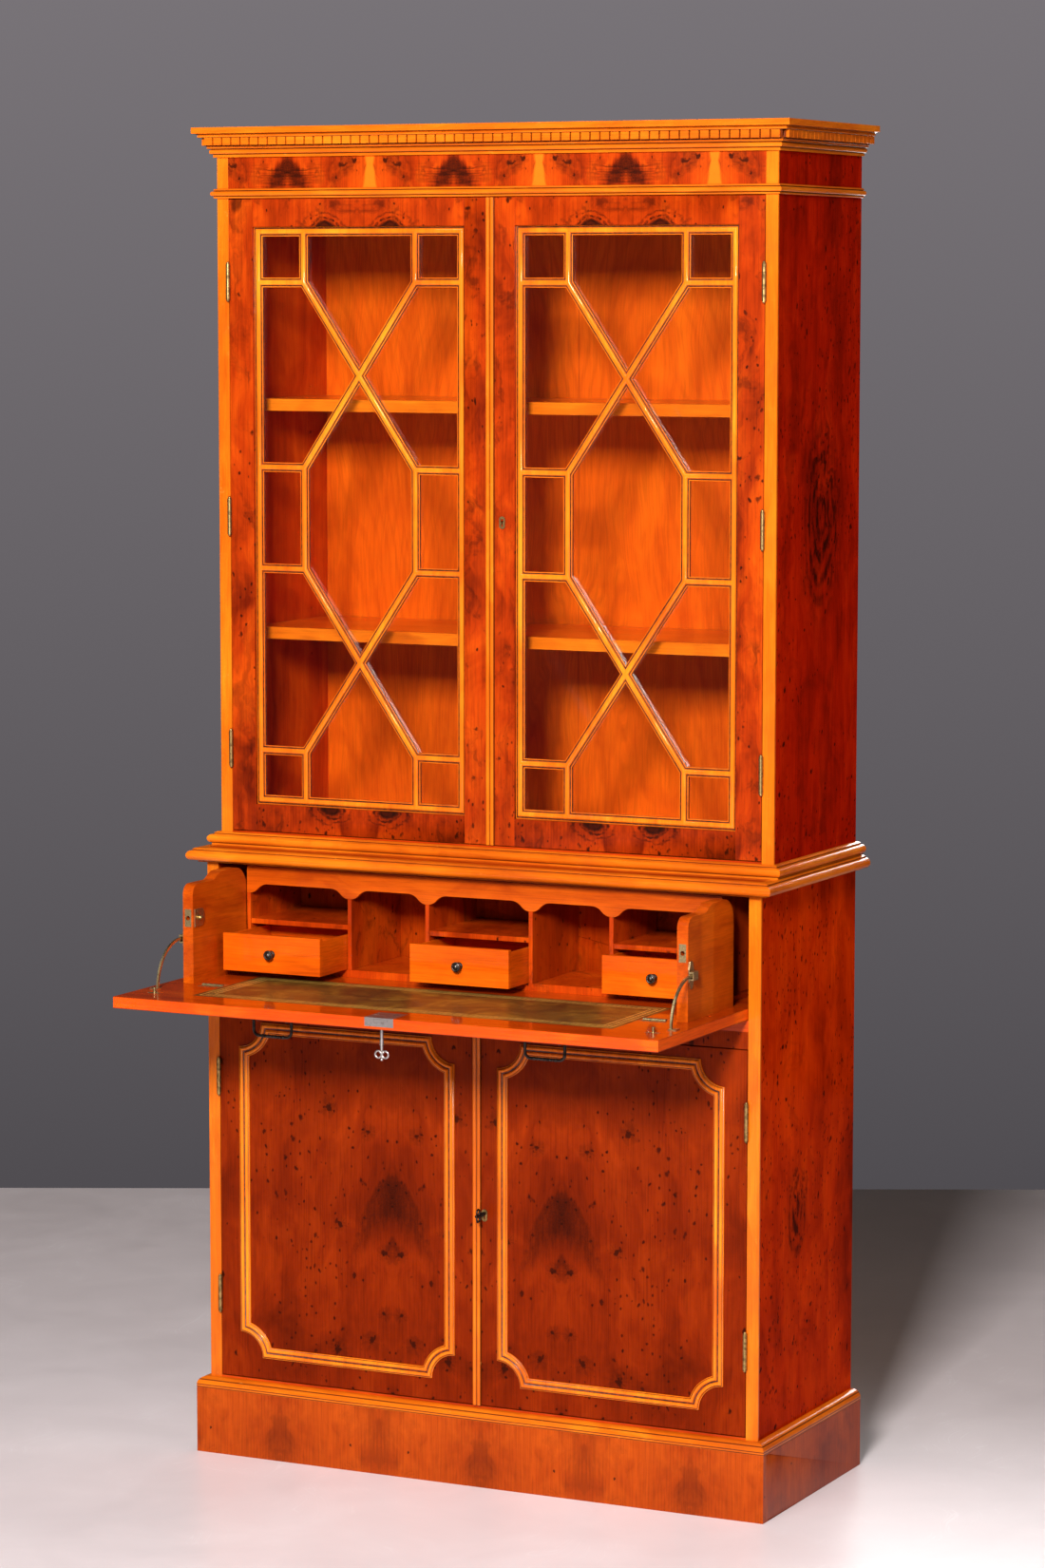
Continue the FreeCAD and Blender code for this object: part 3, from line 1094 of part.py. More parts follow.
def bail(word, run, centre):
    """A drop handle: a bar with rounded corners, thicker than the two pins it hangs from."""
    pins = [rod(f"{word}_bail_pin{end + 1}", 1.6, BAIL_HALF - POST_X + 2.6,
                (centre + end * (BAIL_HALF + POST_X - 2.6) / 2 - (BAIL_HALF - POST_X + 2.6) / 2, BAIL_Y, BAIL_Z),
                ALONG_X) for end in (1, -1)]
    spine = loose_sketch(f"{word}_bail_run", run, False, (0, BAIL_Y, 0), FACING_FRONT)
    start = (centre - BAIL_HALF, BAIL_Y, BAIL_Z)
    hoop = doc.addObject("Part::Circle", f"{word}_bail_circle")
    drive(hoop, Radius=BAIL_BAR)
    place(hoop, start)
    bar = swept(f"{word}_bail_bar", hoop, spine, 5)
    bar.Transition = "Round corner"
    ends = [ball(f"{word}_bail_end{end + 1}", BAIL_BAR, (centre + end * BAIL_HALF, BAIL_Y, BAIL_Z))
            for end in (1, -1)]
    return fuse(f"{word}_bail", pins + [bar] + ends)


# ---------------------------------------------------------------- build and export

build_plinth()
build_case_sides()
build_case_boards()
build_waist()
build_head()
build_shelves()
build_case_hinges()
for door_side, door_word in ((1, "right"), (-1, "left")):
    build_glazed_door(door_side, door_word)
    build_cupboard_door(door_side, door_word)
build_glazed_extras()
build_cupboard_extras()
build_drawer_base()
build_drawer_sides()
build_gallery()
build_catches_and_brackets()
build_small_drawers()
build_fall()
build_fall_fittings()
build_fall_lock()
build_handles()
doc.recompute()

faults = [item.Name for item in doc.Objects if "Invalid" in item.State or "Error" in item.State]
for item in nodes:
    if item.Shape.isNull() or not item.Shape.isValid():
        faults.append(item.Label)
if faults:
    raise RuntimeError("These objects failed: " + ", ".join(faults))
for item in nodes:
    item.Shape.exportStep(f"parts/{item.Label}.step")
print(len(nodes), "sub-parts written")
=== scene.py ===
import json
import math

import bmesh
import bpy
from mathutils import Matrix, Vector


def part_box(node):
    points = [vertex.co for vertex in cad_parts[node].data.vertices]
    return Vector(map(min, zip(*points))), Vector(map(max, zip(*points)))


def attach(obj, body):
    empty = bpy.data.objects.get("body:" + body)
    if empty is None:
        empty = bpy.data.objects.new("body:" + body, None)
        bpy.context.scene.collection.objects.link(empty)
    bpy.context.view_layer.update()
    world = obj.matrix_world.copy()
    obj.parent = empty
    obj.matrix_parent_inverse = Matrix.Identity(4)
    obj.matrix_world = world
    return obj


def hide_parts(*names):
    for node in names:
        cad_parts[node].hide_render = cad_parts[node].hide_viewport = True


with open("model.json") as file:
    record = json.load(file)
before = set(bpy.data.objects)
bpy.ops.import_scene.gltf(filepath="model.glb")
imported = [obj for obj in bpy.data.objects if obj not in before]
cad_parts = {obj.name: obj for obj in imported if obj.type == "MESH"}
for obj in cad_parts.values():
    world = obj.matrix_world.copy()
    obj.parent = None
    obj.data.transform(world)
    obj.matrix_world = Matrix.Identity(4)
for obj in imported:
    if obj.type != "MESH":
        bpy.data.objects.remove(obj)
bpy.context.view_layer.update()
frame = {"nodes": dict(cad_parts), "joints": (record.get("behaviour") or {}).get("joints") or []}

MM = 0.001


# ---------------------------------------------------------------- shader arithmetic

class Wire:
    """A value inside a material: arithmetic on it adds the maths nodes."""

    def __init__(self, shader, socket):
        self.shader = shader
        self.socket = socket

    def __add__(self, other):
        return self.shader.math("ADD", self, other)

    def __sub__(self, other):
        return self.shader.math("SUBTRACT", self, other)

    def __rsub__(self, other):
        return self.shader.math("SUBTRACT", other, self)

    def __mul__(self, other):
        return self.shader.math("MULTIPLY", self, other)

    def __truediv__(self, other):
        return self.shader.math("DIVIDE", self, other)

    def __pow__(self, other):
        return self.shader.math("POWER", self, other)

    def __abs__(self):
        return self.shader.math("ABSOLUTE", self)

    def over(self, limit):
        return self.shader.math("GREATER_THAN", self, limit)

    def under(self, limit):
        return self.shader.math("LESS_THAN", self, limit)

    def larger(self, other):
        return self.shader.math("MAXIMUM", self, other)

    def smaller(self, other):
        return self.shader.math("MINIMUM", self, other)

    def folded(self, period):
        """Runs up to the period and back again, so a pattern of it is mirrored at each turn."""
        return self.shader.math("PINGPONG", self, period)

    def sine(self):
        return self.shader.math("SINE", self)

    def rise(self, low, high):
        """0 below low, 1 above high and smooth between; the other way round when low is the larger."""
        node = self.shader.add("ShaderNodeMapRange", {"Value": self, "From Min": low, "From Max": high})
        node.interpolation_type = "SMOOTHSTEP"
        return Wire(self.shader, node.outputs[0])


class Shader:
    """One material with a principled shader, and the object's own coordinates as x, y and z."""

    def __init__(self, name):
        self.material = bpy.data.materials.new(name)
        self.material.use_nodes = True
        self.tree = self.material.node_tree
        self.tree.nodes.clear()
        self.output = self.add("ShaderNodeOutputMaterial", {})
        self.surface = self.add("ShaderNodeBsdfPrincipled", {})
        self.tree.links.new(self.surface.outputs[0], self.output.inputs[0])
        place = self.add("ShaderNodeTexCoord", {}).outputs["Object"]
        axes = self.add("ShaderNodeSeparateXYZ", {"Vector": Wire(self, place)})
        self.x, self.y, self.z = (Wire(self, socket) for socket in axes.outputs)

    def feed(self, socket, value):
        if isinstance(value, Wire):
            self.tree.links.new(value.socket, socket)
        elif isinstance(value, tuple) and socket.type == "RGBA":
            socket.default_value = (*value, 1)
        else:
            socket.default_value = value

    def add(self, kind, sockets):
        node = self.tree.nodes.new(kind)
        for name, value in sockets.items():
            self.feed(node.inputs[name], value)
        return node

    def set(self, **values):
        for name, value in values.items():
            self.feed(self.surface.inputs[name.replace("_", " ").title().replace("Ior", "IOR")], value)

    def math(self, operation, *values):
        node = self.add("ShaderNodeMath", {})
        node.operation = operation
        for socket, value in zip(node.inputs, values):
            self.feed(socket, value)
        return Wire(self, node.outputs[0])

    def point(self, x, y, z):
        return Wire(self, self.add("ShaderNodeCombineXYZ", {"X": x, "Y": y, "Z": z}).outputs[0])

    def noise(self, x, y, z, detail=2.0, rough=0.5, twist=0.0):
        node = self.add("ShaderNodeTexNoise", {"Vector": self.point(x, y, z), "Scale": 1.0,
                                               "Detail": detail, "Roughness": rough, "Distortion": twist})
        return Wire(self, node.outputs[0])

    def cells(self, x, y, z):
        """The distance to the nearest of a scatter of points, and a random number for that point."""
        node = self.add("ShaderNodeTexVoronoi", {"Vector": self.point(x, y, z), "Scale": 1.0})
        parts = self.add("ShaderNodeSeparateColor", {"Color": Wire(self, node.outputs["Color"])})
        return Wire(self, node.outputs["Distance"]), Wire(self, parts.outputs[0])

    def mix(self, share, one, other, blend="MIX"):
        node = self.tree.nodes.new("ShaderNodeMix")
        node.data_type = "RGBA"
        node.blend_type = blend
        self.feed(node.inputs[0], share)
        self.feed(node.inputs[6], one)
        self.feed(node.inputs[7], other)
        return Wire(self, node.outputs[2])

    def ramp(self, value, stops):
        node = self.add("ShaderNodeValToRGB", {"Fac": value})
        ramp = node.color_ramp
        while len(ramp.elements) < len(stops):
            ramp.elements.new(0.5)
        for element, (position, colour) in zip(ramp.elements, stops):
            element.position = position
            element.color = (*colour, 1)
        return Wire(self, node.outputs[0])

    def grey(self, value):
        node = self.add("ShaderNodeCombineColor", {"Red": value, "Green": value, "Blue": value})
        return Wire(self, node.outputs[0])

    def bumped(self, height, depth, strength=1.0):
        node = self.add("ShaderNodeBump", {"Height": height, "Distance": depth, "Strength": strength})
        self.tree.links.new(node.outputs[0], self.surface.inputs["Normal"])


# ---------------------------------------------------------------- wood

def wood_tones(places, dark, middle, light):
    """Three colours of one timber, each at its place in the range of the grain's tone."""
    return tuple(zip(places, (dark, middle, light)))


# Places of the three colours for a soft and for a lively grain, and the near-black of pips and figures
WIDE = (0.36, 0.50, 0.64)
NARROW = (0.38, 0.50, 0.62)
INK = (0.014, 0.0022, 0.0008)
DOOR_TONES = wood_tones(WIDE, (0.100, 0.0070, 0.0006), (0.190, 0.0140, 0.0009), (0.290, 0.0270, 0.0015))
FRAME_TONES = wood_tones((0.38, 0.49, 0.62),
                         (0.130, 0.0075, 0.0005), (0.350, 0.0270, 0.0010), (0.560, 0.0640, 0.0020))
SIDE_TONES = wood_tones(WIDE, (0.170, 0.0040, 0.0004), (0.360, 0.0080, 0.0005), (0.560, 0.0190, 0.0008))
LOW_SIDE_TONES = wood_tones(NARROW,
                            (0.240, 0.0090, 0.0002), (0.460, 0.0210, 0.0003), (0.640, 0.0400, 0.0005))
PALE_TONES = wood_tones((0.34, 0.50, 0.64),
                        (0.430, 0.0620, 0.0020), (0.640, 0.1220, 0.0034), (0.790, 0.1950, 0.0070))
INSIDE_TONES = wood_tones(NARROW,
                          (0.260, 0.0160, 0.0006), (0.440, 0.0360, 0.0010), (0.600, 0.0720, 0.0020))
DESK_TONES = wood_tones(NARROW, (0.340, 0.0340, 0.0008), (0.500, 0.0680, 0.0014), (0.640, 0.1050, 0.0026))
BACK_TONES = wood_tones((0.32, 0.50, 0.68),
                        (0.460, 0.0480, 0.0010), (0.640, 0.0850, 0.0016), (0.800, 0.1350, 0.0030))
TRAY_TONES = wood_tones(WIDE, (0.500, 0.0520, 0.0008), (0.670, 0.0850, 0.0012), (0.780, 0.1300, 0.0024))
PLINTH_TONES = wood_tones(NARROW,
                          (0.200, 0.0180, 0.0008), (0.335, 0.0380, 0.0014), (0.450, 0.0620, 0.0026))
BEAD_TONES = wood_tones((0.36, 0.50, 0.62),
                        (0.520, 0.0780, 0.0024), (0.760, 0.1560, 0.0050), (0.900, 0.2450, 0.0100))
EDGE_TONES = wood_tones(WIDE, (0.500, 0.0360, 0.0010), (0.660, 0.0600, 0.0014), (0.820, 0.0960, 0.0024))
RAW_TONES = wood_tones(WIDE, (0.24, 0.115, 0.042), (0.36, 0.190, 0.075), (0.47, 0.270, 0.120))
BANDING_TONES = wood_tones(NARROW,
                           (0.280, 0.0180, 0.0005), (0.430, 0.0400, 0.0008), (0.560, 0.0680, 0.0014))
HIDE_TONES = wood_tones((0.34, 0.50, 0.66),
                        (0.040, 0.0160, 0.0016), (0.105, 0.0460, 0.0040), (0.230, 0.1150, 0.0110))

# Where the veneers and lippings change, in metres along the frame's axes
GLAZED_DOOR_MIDDLE = 0.2175
RAIL_HALF = 0.1766
CUPBOARD_JOINT = 0.140
FRIEZE_START = 0.334
FRIEZE_LEAF = 0.138
PLINTH_LEAF = 0.17
BACK_LEAF = 0.29
FALL_LEAF = 0.22
SIDE_INNER_FACE = 0.4525
SHELF_LIPPING_BACK = -0.0735
BACK_RAW_FACE = 0.1835
FALL_UNDERSIDE = 0.7285
FALL_EDGE_LOW = 0.7295
FALL_EDGE_HIGH = 0.7440
DENTIL_GAP_FRONT = -0.1405
DENTIL_GAP_END = 0.4695
# Whole numbers of leaves, added to a folded coordinate to keep it positive
FRIEZE_SHIFT = 20 * FRIEZE_LEAF
PLINTH_SHIFT = 18 * PLINTH_LEAF
BACK_SHIFT = 15 * BACK_LEAF
FALL_SHIFT = 14 * FALL_LEAF


def grain(s, across, along, through, tones, contrast=1.0, seed=0.0, banding=0.5):
    """Plain timber: clouds of tone, mottling, growth bands and fine pores, all long along the grain."""
    cloud = s.noise(across * 5, along * 2.2, through * 5 + seed, 4.0, 0.6, 0.8)
    mottle = s.noise(across * 17 + cloud * 3, along * 8, through * 14 + seed, 4.0, 0.6, 0.6)
    bands = s.noise(across * 48 + cloud * 6, along * 1.3, through * 12 + seed, 3.0, 0.55, 0.3)
    fine = s.noise(across * 520, along * 14, through * 150 + seed, 3.0, 0.6)
    tone = s.ramp(cloud * 0.45 + bands * (0.55 * banding) + mottle * (0.55 - 0.55 * banding), tones)
    pores = fine.rise(0.30, 0.62) * (0.26 * contrast) + (1 - 0.26 * contrast)
    return s.mix(1.0, tone, s.grey(pores), "MULTIPLY"), fine


def burr(s, colour, across, along, through, pips=0.5, knots=0.25, streaks=0.5, seed=0.0, blotch=0.5):
    """Dark marks of yew: clustered pips of two sizes, ringed knots, blotches and long smoky streaks."""
    crowd = s.noise(across * 5.5, along * 4, through * 5 + seed, 3.0, 0.55, 0.4)
    rough = s.noise(across * 210, along * 150, through * 180 + seed, 2.0, 0.6)
    wander = s.noise(across * 26, along * 17, through * 24 + seed, 3.0, 0.6)
    marks = crowd.rise(0.50, 0.78) * 0.22
    for density, radius in ((58, 0.26), (120, 0.30)):
        reach, chance = s.cells(across * density + wander * 2.2, along * density * 0.72 + wander * 1.6,
                                through * density * 0.8 + seed)
        keep = chance.over(1 - crowd.rise(0.36, 0.64) * pips)
        dots = (reach + (rough - 0.5) * 0.36).rise(radius, radius * 0.35) * keep * (chance * 0.6 + 0.4)
        marks = marks.larger(dots)
    far, odds = s.cells(across * 8 + wander * 0.55, along * 6.2 + wander * 0.45, through * 7 + seed)
    rings = (far * 62 + wander * 7).sine() * 0.35 + 0.65
    eyes = (far.rise(0.24, 0.04) * rings).larger((far + (rough - 0.5) * 0.03).rise(0.075, 0.03))
    marks = marks.larger(eyes * odds.over(1 - knots) * 0.9)
    patch = s.noise(across * 21 + wander * 1.5, along * 12, through * 18 + seed + 9, 5.0, 0.68, 0.9)
    marks = marks.larger(patch.rise(0.53, 0.68) * blotch)
    smoke = s.noise(across * 12 + wander * 1.2, along * 1.6, through * 11 + seed + 3, 5.0, 0.66, 0.7)
    marks = marks.larger(smoke.rise(0.50, 0.70) * streaks * (wander * 0.8 + 0.4))
    return s.mix(marks.smaller(1.0) * 0.94, colour, INK)


def flame(s, colour, off, level, peak, height, spread, strength=1.0, raggedness=1.0):
    """A dark leaf-shaped crotch figure: off is the distance from the book-matched joint it stands on."""
    wisp = s.noise(off * 24, level * 18, 0.7, 5.0, 0.62, 0.7)
    fray = s.noise(off * 190, level * 60, 4.1, 4.0, 0.65)
    drop = ((peak - level) + (wisp - 0.5) * (height * 0.16 * raggedness)).larger(0.0)
    ragged = (wisp - 0.5) * 0.06 + (fray - 0.5) * 0.06
    edge = (drop ** 0.5) * spread - off + ragged * (spread * raggedness)
    foot = off * 0.85 + height - drop + (fray - 0.5) * (height * 0.4)
    lines = (edge * (420 / spread) + wisp * 6).sine() * 0.20 + 0.80
    body = edge.rise(0.0, spread * 0.075) * foot.rise(0.0, height * 0.55)
    core = off.rise(spread * 0.13, 0.0)
    fade = drop.rise(0.0, height * 0.25) * 0.3 + 0.7
    mask = body * lines * fade * (core * 0.32 + fray * 0.5 + 0.36) * strength
    return s.mix(mask.smaller(0.92), colour, INK)


def tuft(s, colour, off, level, beside, height, size, rays, seed, strength=0.9):
    """A knot with frayed rays and a ring or two round it."""
    across = off - beside
    up = level - height
    wisp = s.noise(off * 70, level * 70, seed, 4.0, 0.65)
    reach = (across * across + up * up) ** 0.5 + (wisp - 0.5) * (size * 1.5)
    angle = s.math("ARCTAN2", up, across)
    spokes = s.noise(angle * rays, reach * 30, seed + 2, 3.0, 0.6).rise(0.36, 0.60)
    rings = (reach * 3.4 / size * 2.2 + wisp * 4).sine() * 0.3 + 0.7
    halo = reach.rise(size, size * 0.2) * (spokes * 0.75 + 0.25) * rings
    heart = reach.rise(size * 0.40, size * 0.16)
    return s.mix(halo.larger(heart) * strength, colour, INK)


def lacquered(s, colour, fine, gloss=0.25, roughness=0.36, shine=0.06):
    """A clear gloss coat over wood, a little smeared."""
    smear = s.noise(s.x * 14, s.y * 14, s.z * 14, 3.0, 0.6)
    s.set(base_color=colour, roughness=smear * 0.14 + (roughness - 0.07), coat_weight=gloss,
          coat_roughness=0.06)
    s.surface.inputs["Specular IOR Level"].default_value = shine
    s.surface.inputs["Coat IOR"].default_value = 1.33
    s.bumped(fine, 0.00012, 0.35)
    return s.material


def painted_quirk_shade(s, colour, place, levels):
    """Painted shade in the quirks of a moulding, given where they are across its section."""
    dark = None
    for level in levels:
        line = abs(place - level * MM).rise(1.1 * MM, 0.385 * MM)
        dark = line if dark is None else dark.larger(line)
    # painted shade: a dark brown line along each quirk, standing in for the shade in the moulding's
    # recesses
    return s.mix(dark * 0.86, colour, (0.060, 0.0080, 0.0020))


def edge_wear(s, colour):
    """Small lighter scuffs scattered over a pale moulding."""
    scuff = s.noise(s.x * 90, s.y * 90, s.z * 90, 4.0, 0.7).rise(0.62, 0.78)
    return s.mix(scuff * 0.22, colour, (0.95, 0.42, 0.08))


def moulding_wood(name, level, quirks, seed):
    """A pale moulding, level or upright, with painted shade in its quirks and a few scuffs."""
    s = Shader(name)
    along = s.x + s.y if level else s.z
    place = s.z if level else s.x
    colour, fine = grain(s, place * 1.3, along, s.y * 0.2, PALE_TONES, 0.8, seed)
    stain = s.noise(s.x * 7, s.y * 7, s.z * 7 + seed, 3.0, 0.6).rise(0.52, 0.74)
    colour = s.mix(stain * 0.45, colour, (0.46, 0.070, 0.0060))
    if quirks:
        colour = painted_quirk_shade(s, colour, place, quirks)
    return lacquered(s, edge_wear(s, colour), fine, 0.5, 0.36)


def frame_veneer():
    """Glazed door frames: upright grain on the stiles, book-matched figure on the rails."""
    s = Shader("frame_veneer")
    rail = abs(abs(s.x) - GLAZED_DOOR_MIDDLE)
    on_rail = rail.under(RAIL_HALF)
    across = s.x * (1 - on_rail) + (rail + 0.37) * on_rail
    colour, fine = grain(s, across, s.z, s.y, FRAME_TONES, 1.0, 1.3, 0.25)
    colour = burr(s, colour, across, s.z, s.y, 0.46, 0.40, 0.60, 2.1, 0.60)
    wave = s.noise(rail * 30, s.z * 36, 3.0, 4.0, 0.65)
    for height, beside, seed in ((1.850, 0.056, 1.0), (0.992, 0.050, 5.0)):
        away = rail - beside
        above = s.z - height
        bent = (above * above + away * away * 0.38) ** 0.5 + (wave - 0.5) * 0.020
        arcs = (bent * 760 + wave * 6).sine().rise(-0.5, 1.0)
        frayed = s.noise(rail * 90, s.z * 140, seed, 3.0, 0.6).rise(0.30, 0.62)
        colour = s.mix(bent.rise(0.034, 0.016) * on_rail * arcs * frayed * 0.9, colour, INK)
        colour = s.mix(bent.rise(0.014, 0.009) * on_rail * 0.9, colour, INK)
    return lacquered(s, colour, fine)


def cupboard_veneer():
    """Lower doors: a dark book-matched crotch figure above paired knots, with scattered pips."""
    s = Shader("cupboard_veneer")
    off = abs(abs(s.x) - CUPBOARD_JOINT)
    colour, fine = grain(s, off, s.z, s.y, DOOR_TONES, 1.0, 5.2, 0.15)
    colour = burr(s, colour, off, s.z, s.y, 0.50, 0.12, 0.10, 4.4, 0.06)
    shade = s.noise(off * 6, s.z * 3.5, 2.0, 3.0, 0.5, 0.5).rise(0.42, 0.66)
    colour = s.mix(shade * 0.35, colour, (0.090, 0.0050, 0.0006))
    colour = flame(s, colour, off, s.z, 0.460, 0.098, 0.215, 0.95, 1.9)
    colour = flame(s, colour, off, s.z, 0.362, 0.026, 0.120, 0.55)
    knots = ((0.011, 0.334, 0.018), (0.013, 0.240, 0.014), (0.037, 0.198, 0.020), (0.040, 0.515, 0.015),
             (0.088, 0.372, 0.014), (0.108, 0.548, 0.020), (0.092, 0.180, 0.022))
    for beside, height, size in knots:
        colour = tuft(s, colour, off, s.z, beside, height, size, 2.2, beside * 90, 0.85)
    return lacquered(s, colour, fine, 0.14, 0.40, 0.0)


def frieze_veneer():
    """Frieze: crotch figures repeated and mirrored along its length, with pale spindles between them."""
    s = Shader("frieze_veneer")
    off = (s.x + FRIEZE_START + FRIEZE_SHIFT).folded(FRIEZE_LEAF)
    colour, fine = grain(s, off, s.z, s.y, FRAME_TONES, 1.0, 8.1, 0.1)
    colour = burr(s, colour, off, s.z, s.y, 0.60, 0.25, 0.30, 1.7, 0.60)
    wisp = s.noise(off * 90, s.z * 50, 2.0, 4.0, 0.65)
    pale = (off - FRIEZE_LEAF + abs(s.z - 1.944) * 0.16 + (wisp - 0.5) * 0.007).rise(-0.0085, -0.0035)
    colour = s.mix(pale * 0.8, colour, (0.80, 0.150, 0.006))
    colour = flame(s, colour, off, s.z, 1.958, 0.046, 0.200, 1.15, 2.0)
    rays = s.noise(off * 34 + wisp * 1.5, s.z * 300, 6.0, 4.0, 0.65).rise(0.42, 0.60)
    spray = off.rise(0.084, 0.016) * abs(s.z - 1.924 - off * 0.14 + (wisp - 0.5) * 0.02).rise(0.026, 0.006)
    colour = s.mix(rays * spray * 0.75, colour, INK)
    for beside, height, size in ((0.092, 1.943, 0.019), (0.112, 1.950, 0.012), (0.082, 1.925, 0.009)):
        colour = tuft(s, colour, off, s.z, beside, height, size, 1.8, beside * 50)
    return lacquered(s, colour, fine)


def side_wood(name, seed, tones, pips, swirl_at):
    """Case sides: red veneer outside with clustered pips and a dark swirl, plain timber inside."""
    s = Shader(name)
    colour, fine = grain(s, s.y, s.z, s.x * 0.2, tones, 1.0, seed, 0.3)
    colour = burr(s, colour, s.y, s.z, s.x * 0.2, pips, 0.30, 0.45, seed, 0.25)
    depth, height, size = swirl_at
    bend = s.noise(s.y * 12, s.z * 9, seed + 5, 4.0, 0.6, 0.8)
    away = s.y - depth + (bend - 0.5) * 0.06
    above = s.z - height + (bend - 0.5) * 0.10
    reach = (away * away + above * above * 0.22) ** 0.5
    rings = (reach * 420 + bend * 16).sine().rise(-0.9, 0.7)
    frayed = s.noise(s.y * 60, s.z * 22, seed, 4.0, 0.65).rise(0.34, 0.58)
    dark = reach.rise(size, size * 0.35) * (rings * 0.6 + 0.4) * (frayed * 0.8 + 0.2)
    colour = s.mix(dark * 0.92, colour, INK)
    inner, _ = grain(s, s.y, s.z, s.x, INSIDE_TONES, 0.7, seed + 4)
    return lacquered(s, s.mix(abs(s.x).over(SIDE_INNER_FACE), inner, colour), fine, 0.06, 0.45, 0.0)


def plinth_veneer():
    """Plinth: short leaves with upright grain, each the mirror of the one before it."""
    s = Shader("plinth_veneer")
    off = (s.x + s.y + PLINTH_SHIFT).folded(PLINTH_LEAF)
    colour, fine = grain(s, off, s.z, s.y * 0.2, PLINTH_TONES, 1.0, 3.9, 0.25)
    colour = burr(s, colour, off, s.z, s.y * 0.2, 0.22, 0.12, 0.40, 6.2, 0.22)
    return lacquered(s, colour, fine)


def plain_wood(name, tones, along_axis, seed, marks=0.0, gloss=0.55):
    """Solid timber with its grain along one axis."""
    s = Shader(name)
    ways = {"x": (s.z, s.x, s.y), "y": (s.z, s.y, s.x), "z": (s.x, s.z, s.y)}
    across, along, through = ways[along_axis]
    colour, fine = grain(s, across, along, through, tones, 0.8, seed)
    if marks:
        colour = burr(s, colour, across, along, through, marks, marks * 0.5, marks, seed)
    return lacquered(s, colour, fine, gloss, 0.38)


def shelf_wood():
    """Loose shelves: plain boards with a pale lipping along the front edge."""
    s = Shader("shelf_wood")
    colour, fine = grain(s, s.y, s.x, s.z, BACK_TONES, 0.7, 2.2)
    pale, _ = grain(s, s.z, s.x, s.y, PALE_TONES, 0.7, 7.0)
    return lacquered(s, s.mix(s.y.under(SHELF_LIPPING_BACK), colour, pale), fine, 0.6, 0.36)


def back_wood():
    """Back panels: upright veneer with open figure, and raw brown board behind."""
    s = Shader("back_wood")
    off = (s.x + BACK_SHIFT).folded(BACK_LEAF)
    swirl = s.noise(off * 3.2, s.z * 1.4, 0.4, 3.0, 0.5, 1.2)
    colour, fine = grain(s, off + swirl * 0.10, s.z, s.y, BACK_TONES, 0.8, 6.6)
    crest = s.z * 0.34 + (off - 0.15) * (off - 0.15) * 9 + swirl * 0.30
    lines = (crest * 190).sine().rise(0.0, 1.0)
    colour = s.mix(lines * 0.20, colour, (0.36, 0.030, 0.0010))
    seam = abs(off - BACK_LEAF).rise(0.0011, 0.0004)
    colour = s.mix(seam * 0.6, colour, (0.25, 0.03, 0.003))
    raw, _ = grain(s, s.x, s.z, s.y, RAW_TONES, 1.0, 1.0)
    return lacquered(s, s.mix(s.y.over(BACK_RAW_FACE), colour, raw), fine, 0.5, 0.4)


def fall_wood():
    """The fall: plain banding on its writing side, figured veneer on its outer face, pale edges."""
    s = Shader("fall_wood")
    banding, fine = grain(s, s.y, s.x, s.z, BANDING_TONES, 0.9, 3.3)
    off = (s.x + FALL_SHIFT).folded(FALL_LEAF)
    outer, _ = grain(s, off, s.y, s.z, DOOR_TONES, 1.0, 2.6)
    outer = burr(s, outer, off, s.y, s.z, 0.6, 0.3, 0.5, 7.1)
    edge, _ = grain(s, s.z, s.x + s.y, s.y * 0.1, EDGE_TONES, 0.9, 9.4)
    colour = s.mix(s.z.under(FALL_UNDERSIDE), banding, outer)
    colour = s.mix(s.z.over(FALL_EDGE_LOW) * s.z.under(FALL_EDGE_HIGH), colour, edge)
    return lacquered(s, colour, fine, 0.7, 0.30)


def tray_wood():
    """Small drawers: bright timber with level grain."""
    s = Shader("tray_wood")
    colour, fine = grain(s, s.z * 0.8, s.x, s.y * 0.2, TRAY_TONES, 0.9, 4.1)
    return lacquered(s, colour, fine, 0.6, 0.36)


# ---------------------------------------------------------------- leather, glass, metal

